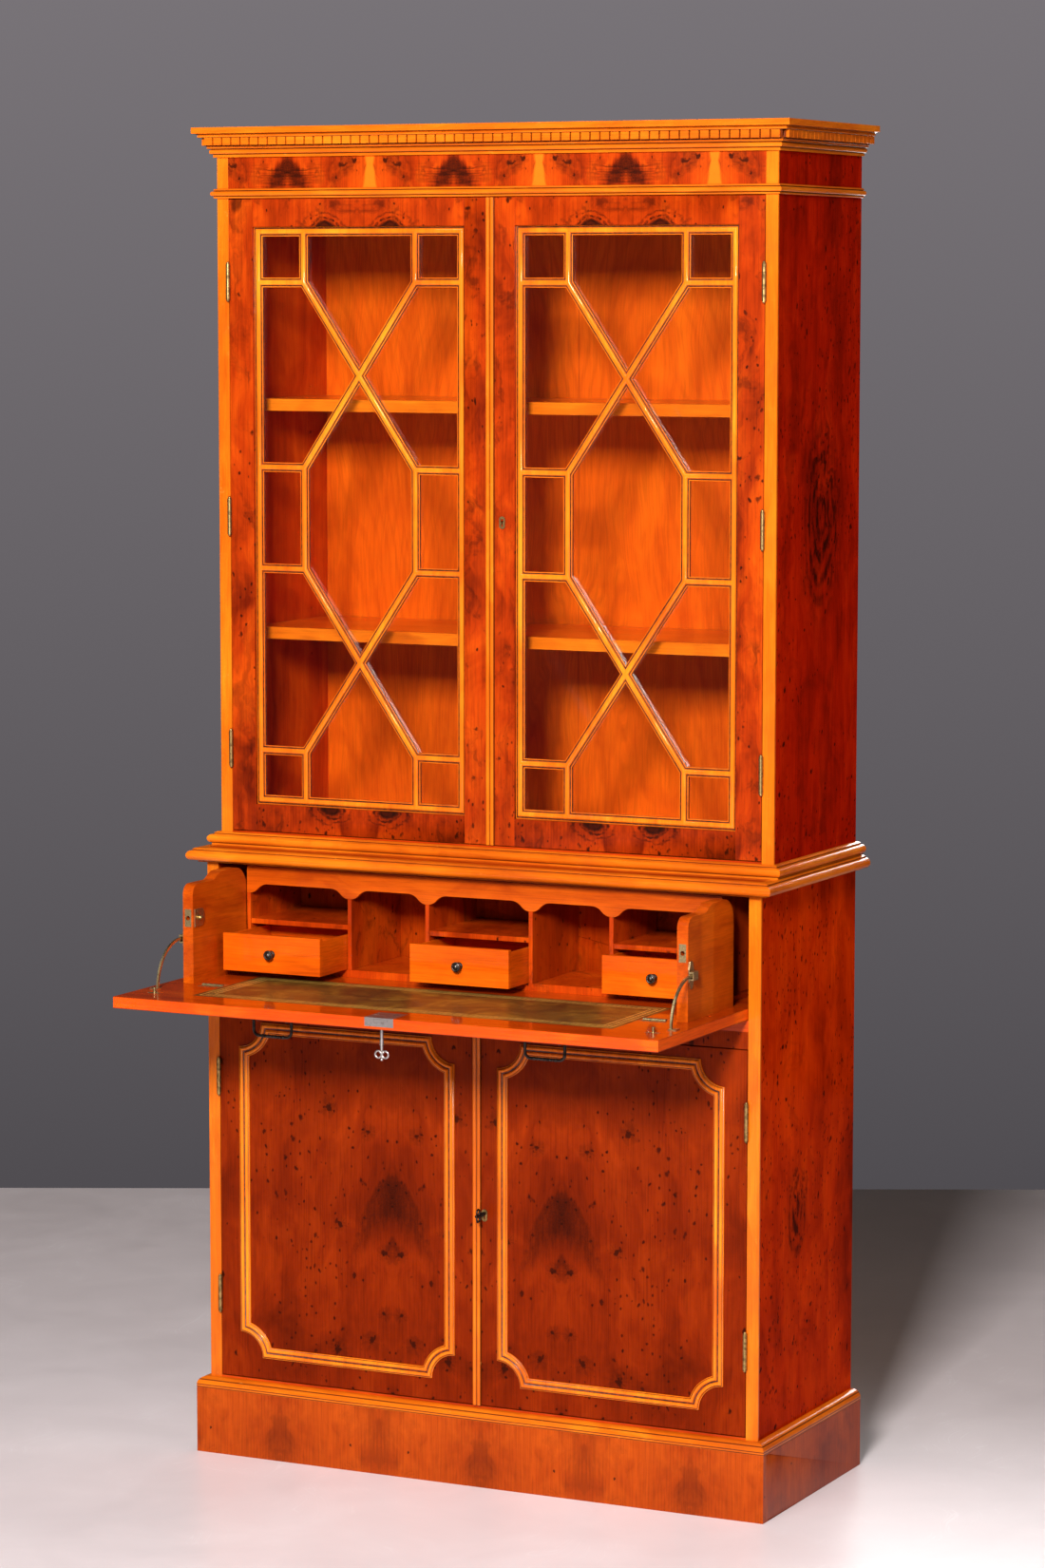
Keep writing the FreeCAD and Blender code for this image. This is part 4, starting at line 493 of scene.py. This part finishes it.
def tooled_leather():
    """Antiqued leather with two gilt lines and a running ornament between them."""
    s = Shader("tooled_leather")
    low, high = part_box("fall_leather")[0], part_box("base_leather")[1]
    edge = (high.x - abs(s.x)).smaller(s.y - low.y).smaller(high.y - s.y)
    mottle = s.noise(s.x * 16, s.y * 16, s.z * 8, 5.0, 0.65, 0.8)
    base = s.ramp(mottle, HIDE_TONES)
    reach, _ = s.cells(s.x * 900, s.y * 900, s.z * 900)
    pores = reach.rise(0.1, 0.6)
    base = s.mix(1.0, base, s.grey(pores * 0.25 + 0.75), "MULTIPLY")
    outer_line = abs(edge - 8 * MM).rise(1.4 * MM, 0.7 * MM)
    lines = outer_line.larger(abs(edge - 24 * MM).rise(1.4 * MM, 0.7 * MM))
    run_x = (s.x + 1.0).folded(8 * MM) - 4 * MM
    run_y = (s.y + 1.0).folded(8 * MM) - 4 * MM
    middle = edge - 16 * MM
    on_end = (high.x - abs(s.x)).under((s.y - low.y).smaller(high.y - s.y))
    run = run_y * on_end + run_x * (1 - on_end)
    petal = abs(run) + abs(middle)
    ornament = abs(petal - 3.4 * MM).rise(1.1 * MM, 0.5 * MM).larger(petal.rise(1.7 * MM, 1.0 * MM))
    ornament = ornament * abs(middle).under(6 * MM)
    worn = s.noise(s.x * 70, s.y * 70, s.z, 4.0, 0.7).rise(0.28, 0.52)
    gilt = lines.larger(ornament) * worn
    s.set(base_color=s.mix(gilt, base, (0.80, 0.50, 0.10)), roughness=0.46 - mottle * 0.12,
          metallic=gilt * 0.5, coat_weight=0.12, coat_roughness=0.25)
    s.bumped(pores - gilt * 0.8, 0.00015, 0.5)
    return s.material


def pane():
    """Clear window glass, which lets lamp light straight through."""
    s = Shader("pane")
    s.set(base_color=(0.97, 0.99, 0.98), roughness=0.0, transmission_weight=1.0)
    s.surface.inputs["IOR"].default_value = 1.5
    through = s.add("ShaderNodeBsdfTransparent", {"Color": (0.96, 0.98, 0.97)})
    path = s.add("ShaderNodeLightPath", {})
    share = Wire(s, path.outputs["Is Shadow Ray"]).larger(Wire(s, path.outputs["Is Diffuse Ray"]))
    blend = s.add("ShaderNodeMixShader", {"Fac": share})
    s.tree.links.new(s.surface.outputs[0], blend.inputs[1])
    s.tree.links.new(through.outputs[0], blend.inputs[2])
    s.tree.links.new(blend.outputs[0], s.output.inputs[0])
    return s.material


def metal(name, bright, dull, roughness, tarnish=0.5):
    """A metal with patches of tarnish and fine handling marks."""
    s = Shader(name)
    patch = s.noise(s.x * 120, s.y * 120, s.z * 120, 5.0, 0.65, 0.5)
    patch = patch.rise(0.64 - tarnish * 0.3, 0.80 - tarnish * 0.2)
    marks = s.noise(s.x * 900, s.y * 900, s.z * 260, 3.0, 0.6)
    s.set(base_color=s.mix(patch * 0.85, bright, dull), metallic=1.0,
          roughness=patch * 0.25 + marks * 0.1 + roughness)
    s.bumped(marks, 0.00005, 0.4)
    return s.material


# ---------------------------------------------------------------- materials of the CAD nodes

# The mouldings' quirks, where painted shade is laid: heights above the floor, or places across the middle
# for the cover beads, in mm
WAIST_QUIRKS = (909.6, 925.2, 931.2, 944.8)
CAP_QUIRKS = (101.0, 104.5, 112.0)
FRIEZE_QUIRKS = (1899.1, 1907.2)
CORNICE_QUIRKS = (1961.0, 1968.7, 1972.7, 1985.0, 1990.1)
BEAD_QUIRKS = (-4.9, 1.85, 8.6)

waist_wood = moulding_wood("waist_wood", True, WAIST_QUIRKS, 1.1)
cap_wood = moulding_wood("cap_wood", True, CAP_QUIRKS, 2.7)
frieze_bead_wood = moulding_wood("frieze_bead_wood", True, FRIEZE_QUIRKS, 3.5)
cornice_wood = moulding_wood("cornice_wood", True, CORNICE_QUIRKS, 4.9)
lipping_wood = moulding_wood("lipping_wood", False, (), 5.6)
bead_wood = moulding_wood("bead_wood", False, BEAD_QUIRKS, 6.4)
bar_wood = plain_wood("bar_wood", BEAD_TONES, "z", 7.7, 0.0, 0.7)


def dentil_wood():
    """Dentils: pale teeth, with painted shade in the gaps between them."""
    s = Shader("dentil_wood")
    colour, fine = grain(s, s.z, s.x + s.y, s.y * 0.2, PALE_TONES, 0.8, 1.9)
    gap_shade_mask = s.y.over(DENTIL_GAP_FRONT) * abs(s.x).under(DENTIL_GAP_END)
    # painted shade: dark brown on the recessed faces between the teeth
    return lacquered(s, s.mix(gap_shade_mask * 0.9, colour, (0.10, 0.012, 0.002)), fine, 0.6, 0.38)


def painted_groove_shade():
    """Painted shade, a blotchy dark brown, for the grooves of bars and mouldings."""
    s = Shader("painted_groove_shade")
    blot = s.noise(s.x * 160, s.y * 160, s.z * 160, 3.0, 0.6)
    # painted shade: near-black to dark brown, laid on faces that sit in shade
    colour = s.ramp(blot, ((0.40, (0.040, 0.0050, 0.0012)), (0.72, (0.260, 0.0360, 0.0030))))
    s.set(base_color=colour, roughness=0.4, coat_weight=0.3, coat_roughness=0.1)
    s.bumped(blot, 0.0002, 0.5)
    return s.material


brass = metal("brass", (0.46, 0.30, 0.11), (0.10, 0.055, 0.022), 0.28, 0.8)
worn_brass = metal("worn_brass", (0.56, 0.43, 0.21), (0.20, 0.13, 0.06), 0.28, 0.7)
nickel = metal("nickel", (0.52, 0.48, 0.46), (0.22, 0.17, 0.15), 0.26, 0.5)
black_iron = metal("black_iron", (0.045, 0.038, 0.034), (0.012, 0.010, 0.009), 0.34, 0.6)
knob_metal = metal("knob_metal", (0.110, 0.090, 0.080), (0.016, 0.013, 0.012), 0.26, 0.7)
glass = pane()
groove_shade_paint = painted_groove_shade()
door_veneer = cupboard_veneer()
frames = frame_veneer()
tray = tray_wood()
interior = plain_wood("interior_wood", INSIDE_TONES, "x", 1.5)
gallery_wood = plain_wood("gallery_wood", INSIDE_TONES, "z", 5.0, 0.15)
valance_wood = plain_wood("valance_wood", DESK_TONES, "x", 8.0)
drawer_side_wood = plain_wood("drawer_side_wood", DESK_TONES, "y", 3.0)
writing = fall_wood()
leather = tooled_leather()

node_materials = {
    plinth_veneer(): ["plinth"],
    cap_wood: ["plinth_cap"],
    side_wood("lower_side_wood", 2.4, LOW_SIDE_TONES, 1.00, (-0.030, 0.430, 0.050)): ["lower_sides"],
    side_wood("upper_side_wood", 7.9, SIDE_TONES, 0.95, (0.040, 1.440, 0.095)): ["upper_sides"],
    lipping_wood: ["front_lippings"],
    interior: ["case_boards", "drawer_rail"],
    valance_wood: ["valance"],
    back_wood(): ["back_panels"],
    door_veneer: ["cupboard_left_panel", "cupboard_right_panel", "door_head_rail"],
    waist_wood: ["waist_moulding"],
    frieze_veneer(): ["frieze"],
    frieze_bead_wood: ["frieze_moulding"],
    cornice_wood: ["cornice"],
    dentil_wood(): ["dentils"],
    shelf_wood(): ["bookcase_shelves"],
    frames: ["glazed_left_frame", "glazed_right_frame"],
    glass: ["glazed_left_glass", "glazed_right_glass"],
    bead_wood: ["glazed_cover_bead", "cupboard_cover_bead"],
    writing: ["fall_panel", "drawer_base"],
    leather: ["fall_leather", "base_leather"],
    drawer_side_wood: ["drawer_sides"],
    gallery_wood: ["gallery"],
    tray: ["small_drawer_left", "small_drawer_middle", "small_drawer_right"],
    brass: ["case_hinges", "shelf_pins", "glazed_left_fittings", "glazed_right_fittings",
            "cupboard_left_fittings", "cupboard_right_fittings", "catch_button_left", "catch_button_right"],
    worn_brass: ["drawer_fittings", "fall_fittings"],
    nickel: ["fall_lock", "fall_bolt", "glazed_bolt", "cupboard_bolt", "fall_key"],
    black_iron: ["knob_left", "knob_middle", "knob_right", "handle_posts", "bail_left", "bail_right",
                 "cupboard_key"],
}
for material, names in node_materials.items():
    for name in names:
        slots = frame["nodes"][name].data.materials
        slots.clear()
        slots.append(material)


# ---------------------------------------------------------------- softened edges

def soften(name, width):
    """Rounds the hard edges of a CAD node's boards, without touching its mesh."""
    node = frame["nodes"][name]
    weld = node.modifiers.new("weld", "WELD")
    weld.merge_threshold = 0.00002
    bevel = node.modifiers.new("rounding", "BEVEL")
    bevel.width = width * MM
    bevel.segments = 2
    bevel.limit_method = "ANGLE"
    bevel.angle_limit = math.radians(40)
    bevel.use_clamp_overlap = True
    node.modifiers.new("normals", "WEIGHTED_NORMAL")


edge_widths = {
    "plinth": 0.8, "front_lippings": 0.5, "bookcase_shelves": 0.8, "frieze": 0.4, "dentils": 0.3,
    "glazed_left_frame": 0.5, "glazed_right_frame": 0.5,
    "cupboard_left_panel": 0.6, "cupboard_right_panel": 0.6,
    "fall_panel": 0.9, "drawer_sides": 1.0, "gallery": 0.5, "valance": 0.6,
    "small_drawer_left": 0.7, "small_drawer_middle": 0.7, "small_drawer_right": 0.7,
}
for name, width in edge_widths.items():
    soften(name, width)


# ---------------------------------------------------------------- mesh pieces

def piece(name, mesh, materials, body, slot, *replaced):
    """A finished piece that rides on a body and stands for CAD nodes."""
    data = bpy.data.meshes.new(name)
    bmesh.ops.recalc_face_normals(mesh, faces=mesh.faces)
    mesh.to_mesh(data)
    mesh.free()
    for material in materials:
        data.materials.append(material)
    made = bpy.data.objects.new(name, data)
    bpy.context.scene.collection.objects.link(made)
    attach(made, body)
    if replaced:
        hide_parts(*replaced)
    return made


BAR_HALF = 7 * MM
BAR_SPREAD = 93 * MM
ROW_IN = 75.5 * MM
ROW_OUT = 349 * MM
# Half of a glazing bar's section, from its back edge to the crown: offset from the centre line, and height
BAR_SECTION = [(7.0, 0.0), (7.0, 4.2), (6.6, 4.7), (5.9, 4.7), (5.1, 3.4), (4.1, 3.4), (3.8, 4.9),
               (3.2, 6.1), (2.1, 7.0), (0.8, 7.4)]
# Faces of the section given painted shade: the bar's side wall and its groove
BAR_GROOVE = (0, 3, 4, 5)


def lattice_runs(low, high):
    """The centre lines of one door's glazing bars, as pairs of points across and in height."""
    centre = (low.x + high.x) / 2
    middle = (low.z + high.z) / 2
    posts = (centre - BAR_SPREAD, centre + BAR_SPREAD)
    rows = (middle - ROW_OUT, middle - ROW_IN, middle + ROW_IN, middle + ROW_OUT)
    left, right = low.x + BAR_HALF, high.x - BAR_HALF
    base, top = low.z + BAR_HALF, high.z - BAR_HALF
    runs = []
    for row in rows:
        runs.append(((left, row), (posts[0], row)))
        runs.append(((posts[1], row), (right, row)))
    for post in posts:
        runs.append(((post, rows[3]), (post, top)))
        runs.append(((post, rows[1]), (post, rows[2])))
        runs.append(((post, base), (post, rows[0])))
    for one, other in ((rows[0], rows[1]), (rows[2], rows[3])):
        cross = (centre, (one + other) / 2)
        for post in posts:
            runs.append(((post, one), cross))
            runs.append(((post, other), cross))
    for upright in (left, right):
        for start, end in zip((base,) + rows, rows + (top,)):
            runs.append(((upright, start), (upright, end)))
    for level in (base, top):
        for start, end in zip((left,) + posts, posts + (right,)):
            runs.append(((start, level), (end, level)))
    return [(Vector(start), Vector(end)) for start, end in runs]


def bisectors(runs, joint, heading):
    """Where a bar meets its neighbours at a joint: directions across the mitres, away from the bar."""
    own = math.atan2(heading.y, heading.x)
    turns = []
    for start, end in runs:
        for here, there in ((start, end), (end, start)):
            if (here - joint).length < 1e-5:
                way = (there - here).normalized()
                turn = (math.atan2(way.y, way.x) - own) % math.tau
                if 1e-4 < turn < math.tau - 1e-4:
                    turns.append(turn)
    if not turns:
        return []
    limits = []
    for edge, side in ((min(turns) / 2, 1), (-(math.tau - max(turns)) / 2, -1)):
        normal = own + edge + side * math.pi / 2
        limits.append(Vector((math.cos(normal), math.sin(normal))))
    return limits


def glazing_bars(word):
    """One door's lattice of glazing bars, mitred at every joint, with painted shade in the quirks and on
    the sides.
    """
    low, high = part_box(f"glazed_{word}_bars")
    runs = lattice_runs(low, high)
    outline = [(offset, height) for offset, height in BAR_SECTION]
    outline += [(-offset, height) for offset, height in reversed(BAR_SECTION)]
    count = len(outline)
    grooves = set(BAR_GROOVE) | {count - 2 - index for index in BAR_GROOVE}
    whole = bmesh.new()
    for start, end in runs:
        heading = (end - start).normalized()
        beside = Vector((heading.y, -heading.x))
        bar = bmesh.new()
        rings = []
        for at in (start - heading * BAR_HALF * 2, end + heading * BAR_HALF * 2):
            ring = []
            for offset, height in outline:
                flat = at + beside * offset * MM
                ring.append(bar.verts.new((flat.x, high.y - height * MM, flat.y)))
            rings.append(ring)
        for index in range(count):
            after = (index + 1) % count
            face = bar.faces.new((rings[0][index], rings[0][after], rings[1][after], rings[1][index]))
            # material 1 is painted shade, on the side walls and in the groove
            face.material_index = 1 if index in grooves else 0
            face.smooth = True
        for joint, way in ((start, heading), (end, -heading)):
            for normal in bisectors(runs, joint, way):
                geometry = bar.verts[:] + bar.edges[:] + bar.faces[:]
                bmesh.ops.bisect_plane(bar, geom=geometry, plane_co=(joint.x, 0, joint.y),
                                       plane_no=(normal.x, 0, normal.y), clear_outer=True, dist=1e-7)
        part = bpy.data.meshes.new("bar")
        bar.to_mesh(part)
        bar.free()
        whole.from_mesh(part)
        bpy.data.meshes.remove(part)
    bmesh.ops.remove_doubles(whole, verts=whole.verts, dist=2e-6)
    made = piece(f"{word}_glazing_bars", whole, (bar_wood, groove_shade_paint), f"glazed_{word}_door",
                 "moulding_light", f"glazed_{word}_bars")
    made.data.set_sharp_from_angle(angle=math.radians(32))


# A panel moulding's section: distance in from its outer edge, and height off the door
REEDS = [(0.0, 0.0), (0.0, 2.5), (0.8, 2.9), (1.3, 2.3), (1.8, 2.6), (2.1, 3.9), (3.0, 5.0), (4.4, 5.5),
         (5.8, 5.0), (6.7, 3.9), (7.0, 2.6), (7.6, 1.9), (8.9, 1.9), (9.5, 2.6), (9.8, 3.9), (10.7, 5.0),
         (12.1, 5.5), (13.5, 5.0), (14.4, 3.9), (14.7, 2.6), (15.2, 2.3), (15.7, 2.9), (16.5, 2.5),
         (16.5, 0.0)]
# Faces in the valleys between the reeds and at the edges, given painted shade
REED_GROOVES = (2, 3, 10, 11, 12, 19, 20)
SCOOP = 38 * MM
SCOOP_STEPS = 20


def scooped_outline(low, high, inset):
    """A rectangle with concentric scoops at its corners, drawn at some distance inside its edge."""
    points = []
    corners = ((low.x, low.z, 0.5), (high.x, low.z, 1.0), (high.x, high.z, 1.5), (low.x, high.z, 0.0))
    reach = SCOOP + inset
    half_swing = math.acos(inset / reach) - math.pi / 4
    for across, height, turn in corners:
        middle = turn * math.pi - math.pi / 4
        for step in range(SCOOP_STEPS + 1):
            angle = middle + half_swing * (1 - 2 * step / SCOOP_STEPS)
            points.append((across + reach * math.cos(angle), height + reach * math.sin(angle)))
    return points


def panel_moulding(word):
    """The reeded moulding planted on a cupboard door, with painted shade between its reeds."""
    low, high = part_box(f"cupboard_{word}_moulding")
    back = high.y
    mesh = bmesh.new()
    rings = []
    for inset, height in REEDS:
        rings.append([mesh.verts.new((across, back - height * MM, level))
                      for across, level in scooped_outline(low, high, inset * MM)])
    for index, (ring, after) in enumerate(zip(rings, rings[1:])):
        for step in range(len(ring)):
            following = (step + 1) % len(ring)
            face = mesh.faces.new((ring[step], ring[following], after[following], after[step]))
            # material 1 is painted shade in the valleys
            face.material_index = 1 if index in REED_GROOVES else 0
            face.smooth = True
    made = piece(f"{word}_panel_moulding", mesh, (bar_wood, groove_shade_paint), f"cupboard_{word}_door",
                 "moulding_light", f"cupboard_{word}_moulding")
    made.data.set_sharp_from_angle(angle=math.radians(50))


def tube(mesh, path, radius, sides):
    """A bar swept along points, its radius a function of its length so far and of the angle round it."""
    rings = []
    travelled = 0.0
    side = None
    for index, point in enumerate(path):
        before = path[max(index - 1, 0)]
        after = path[min(index + 1, len(path) - 1)]
        heading = (after - before).normalized()
        if side is None:
            side = heading.cross(Vector((0, 1, 0)))
            side = side.normalized() if side.length > 0.1 else heading.cross(Vector((1, 0, 0))).normalized()
        side = (side - heading * side.dot(heading)).normalized()
        other = heading.cross(side)
        travelled += (point - before).length
        ring = []
        for step in range(sides):
            angle = math.tau * step / sides
            reach = radius(travelled, angle)
            ring.append(mesh.verts.new(point + (side * math.cos(angle) + other * math.sin(angle)) * reach))
        rings.append(ring)
    for ring, after in zip(rings, rings[1:]):
        for step in range(sides):
            following = (step + 1) % sides
            mesh.faces.new((ring[step], ring[following], after[following], after[step])).smooth = True
    mesh.faces.new(rings[0])
    mesh.faces.new(rings[-1])


def in_metres(profile):
    """A profile given in millimetres, as the metres of the frame."""
    return [(radius * MM, distance * MM) for radius, distance in profile]


def turned(mesh, profile, centre, axis, sides=20):
    """A turned piece: radii at distances along an axis from a centre."""
    aim = axis.to_track_quat("Z", "Y")
    rings = []
    for radius, distance in profile:
        ring = []
        for step in range(sides):
            angle = math.tau * step / sides
            spot = Vector((math.cos(angle) * radius, math.sin(angle) * radius, distance))
            ring.append(mesh.verts.new(centre + aim @ spot))
        rings.append(ring)
    for ring, after in zip(rings, rings[1:]):
        for step in range(sides):
            following = (step + 1) % sides
            mesh.faces.new((ring[step], ring[following], after[following], after[step])).smooth = True
    mesh.faces.new(rings[0])
    mesh.faces.new(rings[-1])


BAIL_HALF = 31.1 * MM
BAIL_DROP = 25 * MM
BAIL_BEND = 9 * MM
BAIL_RADIUS = 2.62 * MM
BEND_STEPS = 8
GRIP_STEPS = 60
ROPE_HALF = 15 * MM
COLLAR_AT = 17 * MM
# A drop handle's turned end and the pin inside it: radius and distance along the pivot
END_BALL = [(0.2, -3.0), (1.7, -2.5), (2.6, -1.4), (3.0, 0), (2.6, 1.4), (1.7, 2.5), (0.2, 3.0)]
END_PIN = [(1.5, 0), (1.5, 9)]


def drop_handle(word):
    """A black drop handle: turned ends, rounded shoulders and a rope-twisted grip."""
    joint = next(j for j in frame["joints"] if j["child"] == f"{word}_bail")
    pivot = Vector(joint["pos_m"])
    path = []
    for side in (-1, 1):
        corner = Vector((side * (BAIL_HALF - BAIL_BEND), 0, -BAIL_DROP + BAIL_BEND))
        arc = []
        for step in range(BEND_STEPS + 1):
            angle = math.pi / 2 * step / BEND_STEPS
            arc.append(corner + Vector((side * math.cos(angle), 0, -math.sin(angle))) * BAIL_BEND)
        leg = [Vector((side * BAIL_HALF, 0, -depth * MM)) for depth in (0, 4, 8, 12)]
        path.append(leg + arc)
    grip_start, grip_end = path[0][-1], path[1][-1]
    grip = [grip_start.lerp(grip_end, step / GRIP_STEPS) for step in range(1, GRIP_STEPS)]
    route = [pivot + point for point in path[0] + grip + path[1][::-1]]
    length = sum((b - a).length for a, b in zip(route, route[1:]))

    def radius(travelled, angle):
        from_middle = abs(travelled - length / 2)
        rope = 0.16 * math.cos(2 * (angle - travelled / MM * 0.55)) if from_middle < ROPE_HALF else 0.0
        collar = 0.28 * math.exp(-((from_middle - COLLAR_AT) / (1.1 * MM)) ** 2)
        return BAIL_RADIUS * (0.86 + rope + collar)

    mesh = bmesh.new()
    tube(mesh, route, radius, 16)
    for side in (-1, 1):
        end = pivot + Vector((side * BAIL_HALF, 0, 0))
        turned(mesh, in_metres(END_BALL), end, Vector((1, 0, 0)))
        turned(mesh, in_metres(END_PIN), end, Vector((-side, 0, 0)))
    piece(f"{word}_drop_handle", mesh, (black_iron,), f"{word}_bail", "dark_metal", f"bail_{word}")


# A small drawer's knob: radius and distance out from the drawer front
KNOB = [(6.0, 0.0), (6.0, 0.7), (4.2, 1.5), (3.0, 3.0), (2.9, 5.2), (4.4, 6.3), (6.6, 7.5), (7.3, 9.2),
        (7.3, 10.8), (6.7, 12.0), (5.7, 12.4), (5.0, 11.8), (4.3, 11.8), (3.7, 12.9), (2.1, 14.0),
        (0.2, 14.3)]


def ringed_knob(word):
    """A turned knob with a raised rim round a button."""
    low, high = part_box(f"knob_{word}")
    seat = Vector(((low.x + high.x) / 2, high.y, (low.z + high.z) / 2))
    mesh = bmesh.new()
    turned(mesh, in_metres(KNOB), seat, Vector((0, -1, 0)), 32)
    piece(f"{word}_ringed_knob", mesh, (knob_metal,), f"{word}_small_drawer", "dark_metal",
          f"knob_{word}")


for word in ("left", "middle", "right"):
    ringed_knob(word)
for word in ("left", "right"):
    glazing_bars(word)
    panel_moulding(word)
    drop_handle(word)


# ---------------------------------------------------------------- floor, light and camera

def studio_floor():
    """Pale grey floor, a little cloudy and scratched."""
    s = Shader("studio_floor")
    haze = s.noise(s.x * 0.9, s.y * 0.9, s.z, 4.0, 0.6)
    cloud = s.noise(s.x * 5, s.y * 5, 1.0, 5.0, 0.65, 0.6)
    bend = s.noise(s.x * 2, s.y * 2, 4.0, 2.0, 0.5) * 0.5
    scratch = s.noise(s.x * 34 + bend * 60, s.y * 2.2 + bend * 9, 0.0, 2.0, 0.6)
    marks = abs(scratch - 0.5).rise(0.010, 0.002) * cloud.rise(0.50, 0.62)
    ground = s.ramp(haze * 0.6 + cloud * 0.4, ((0.36, (0.76, 0.660, 0.660)), (0.64, (0.86, 0.755, 0.755))))
    s.set(base_color=s.mix(marks * 0.5, ground, (0.90, 0.82, 0.82)), roughness=cloud * 0.25 + 0.22)
    s.surface.inputs["Specular IOR Level"].default_value = 0.45
    return s.material


# The camera's turn round the vertical, and the floor's edges from the middle along that turn
VIEW_TURN = math.radians(25.749)
FLOOR_BACK = 2.06
FLOOR_FRONT = 6.0
FLOOR_HALF = 6.0

floor_data = bpy.data.meshes.new("floor")
floor_data.from_pydata([(-FLOOR_HALF, -FLOOR_FRONT, 0), (FLOOR_HALF, -FLOOR_FRONT, 0),
                        (FLOOR_HALF, FLOOR_BACK, 0), (-FLOOR_HALF, FLOOR_BACK, 0)], [], [(0, 1, 2, 3)])
floor_data.materials.append(studio_floor())
floor = bpy.data.objects.new("floor", floor_data)
floor.rotation_euler = (0, 0, VIEW_TURN)
bpy.context.scene.collection.objects.link(floor)


def softbox(name, location, target, width, height, power):
    """A rectangular lamp aimed at a point."""
    data = bpy.data.lights.new(name, "AREA")
    data.shape = "RECTANGLE"
    data.size = width
    data.size_y = height
    data.energy = power
    lamp = bpy.data.objects.new(name, data)
    lamp.location = location
    lamp.rotation_euler = (Vector(target) - Vector(location)).to_track_quat("-Z", "Y").to_euler()
    bpy.context.scene.collection.objects.link(lamp)
    return lamp


softbox("key", (1.60, -5.4, 3.20), (0, 0, 1.15), 1.00, 1.00, 575)
softbox("overhead", (0.0, -3.2, 3.6), (0, -2.4, 0), 1.6, 1.0, 60)
softbox("fill", (-3.8, -2.6, 3.4), (0, 0, 1.0), 1.2, 1.2, 10)
softbox("right_fill", (4.6, -1.0, 2.6), (0, 0, 1.0), 1.0, 1.6, 26)
softbox("back_fill", (-0.1, 1.9, 1.3), (0, 0.2, 1.1), 1.2, 1.0, 9).data.spread = math.radians(64)


def backdrop():
    """A grey wall with painted light that lightens it upwards where the camera sees it, and dim as a source
    of light.
    """
    world = bpy.data.worlds.new("backdrop")
    world.use_nodes = True
    tree = world.node_tree
    facing = tree.nodes.new("ShaderNodeTexCoord")
    parts = tree.nodes.new("ShaderNodeSeparateXYZ")
    rising = tree.nodes.new("ShaderNodeMapRange")
    rising.inputs["From Min"].default_value = -0.206
    rising.inputs["From Max"].default_value = 0.063
    # painted light: the wall the camera sees is brighter towards the top
    wall_light_gradient = tree.nodes.new("ShaderNodeValToRGB")
    wall_light_gradient.color_ramp.elements[0].color = (0.076, 0.070, 0.078, 1)
    wall_light_gradient.color_ramp.elements[1].color = (0.187, 0.171, 0.185, 1)
    seen = tree.nodes.new("ShaderNodeLightPath")
    shown = tree.nodes.new("ShaderNodeMix")
    shown.data_type = "RGBA"
    shown.inputs[6].default_value = (0.022, 0.020, 0.019, 1)
    tree.links.new(facing.outputs["Generated"], parts.inputs[0])
    tree.links.new(parts.outputs["Z"], rising.inputs["Value"])
    tree.links.new(rising.outputs["Result"], wall_light_gradient.inputs[0])
    tree.links.new(wall_light_gradient.outputs[0], shown.inputs[7])
    tree.links.new(seen.outputs["Is Camera Ray"], shown.inputs[0])
    tree.links.new(shown.outputs[2], tree.nodes["Background"].inputs["Color"])
    return world


bpy.context.scene.world = backdrop()

camera_data = bpy.data.cameras.new("camera")
camera_data.lens = 103.19
camera_data.sensor_width = 36
camera_data.shift_x = -0.0301
camera_data.shift_y = 0.0195
camera = bpy.data.objects.new("camera", camera_data)
camera.location = (2.9533, -5.9800, 1.7584)
camera.rotation_euler = (math.radians(83.371), math.radians(-0.097), VIEW_TURN)
bpy.context.scene.collection.objects.link(camera)
bpy.context.scene.camera = camera
bpy.context.scene.view_settings.view_transform = "Standard"
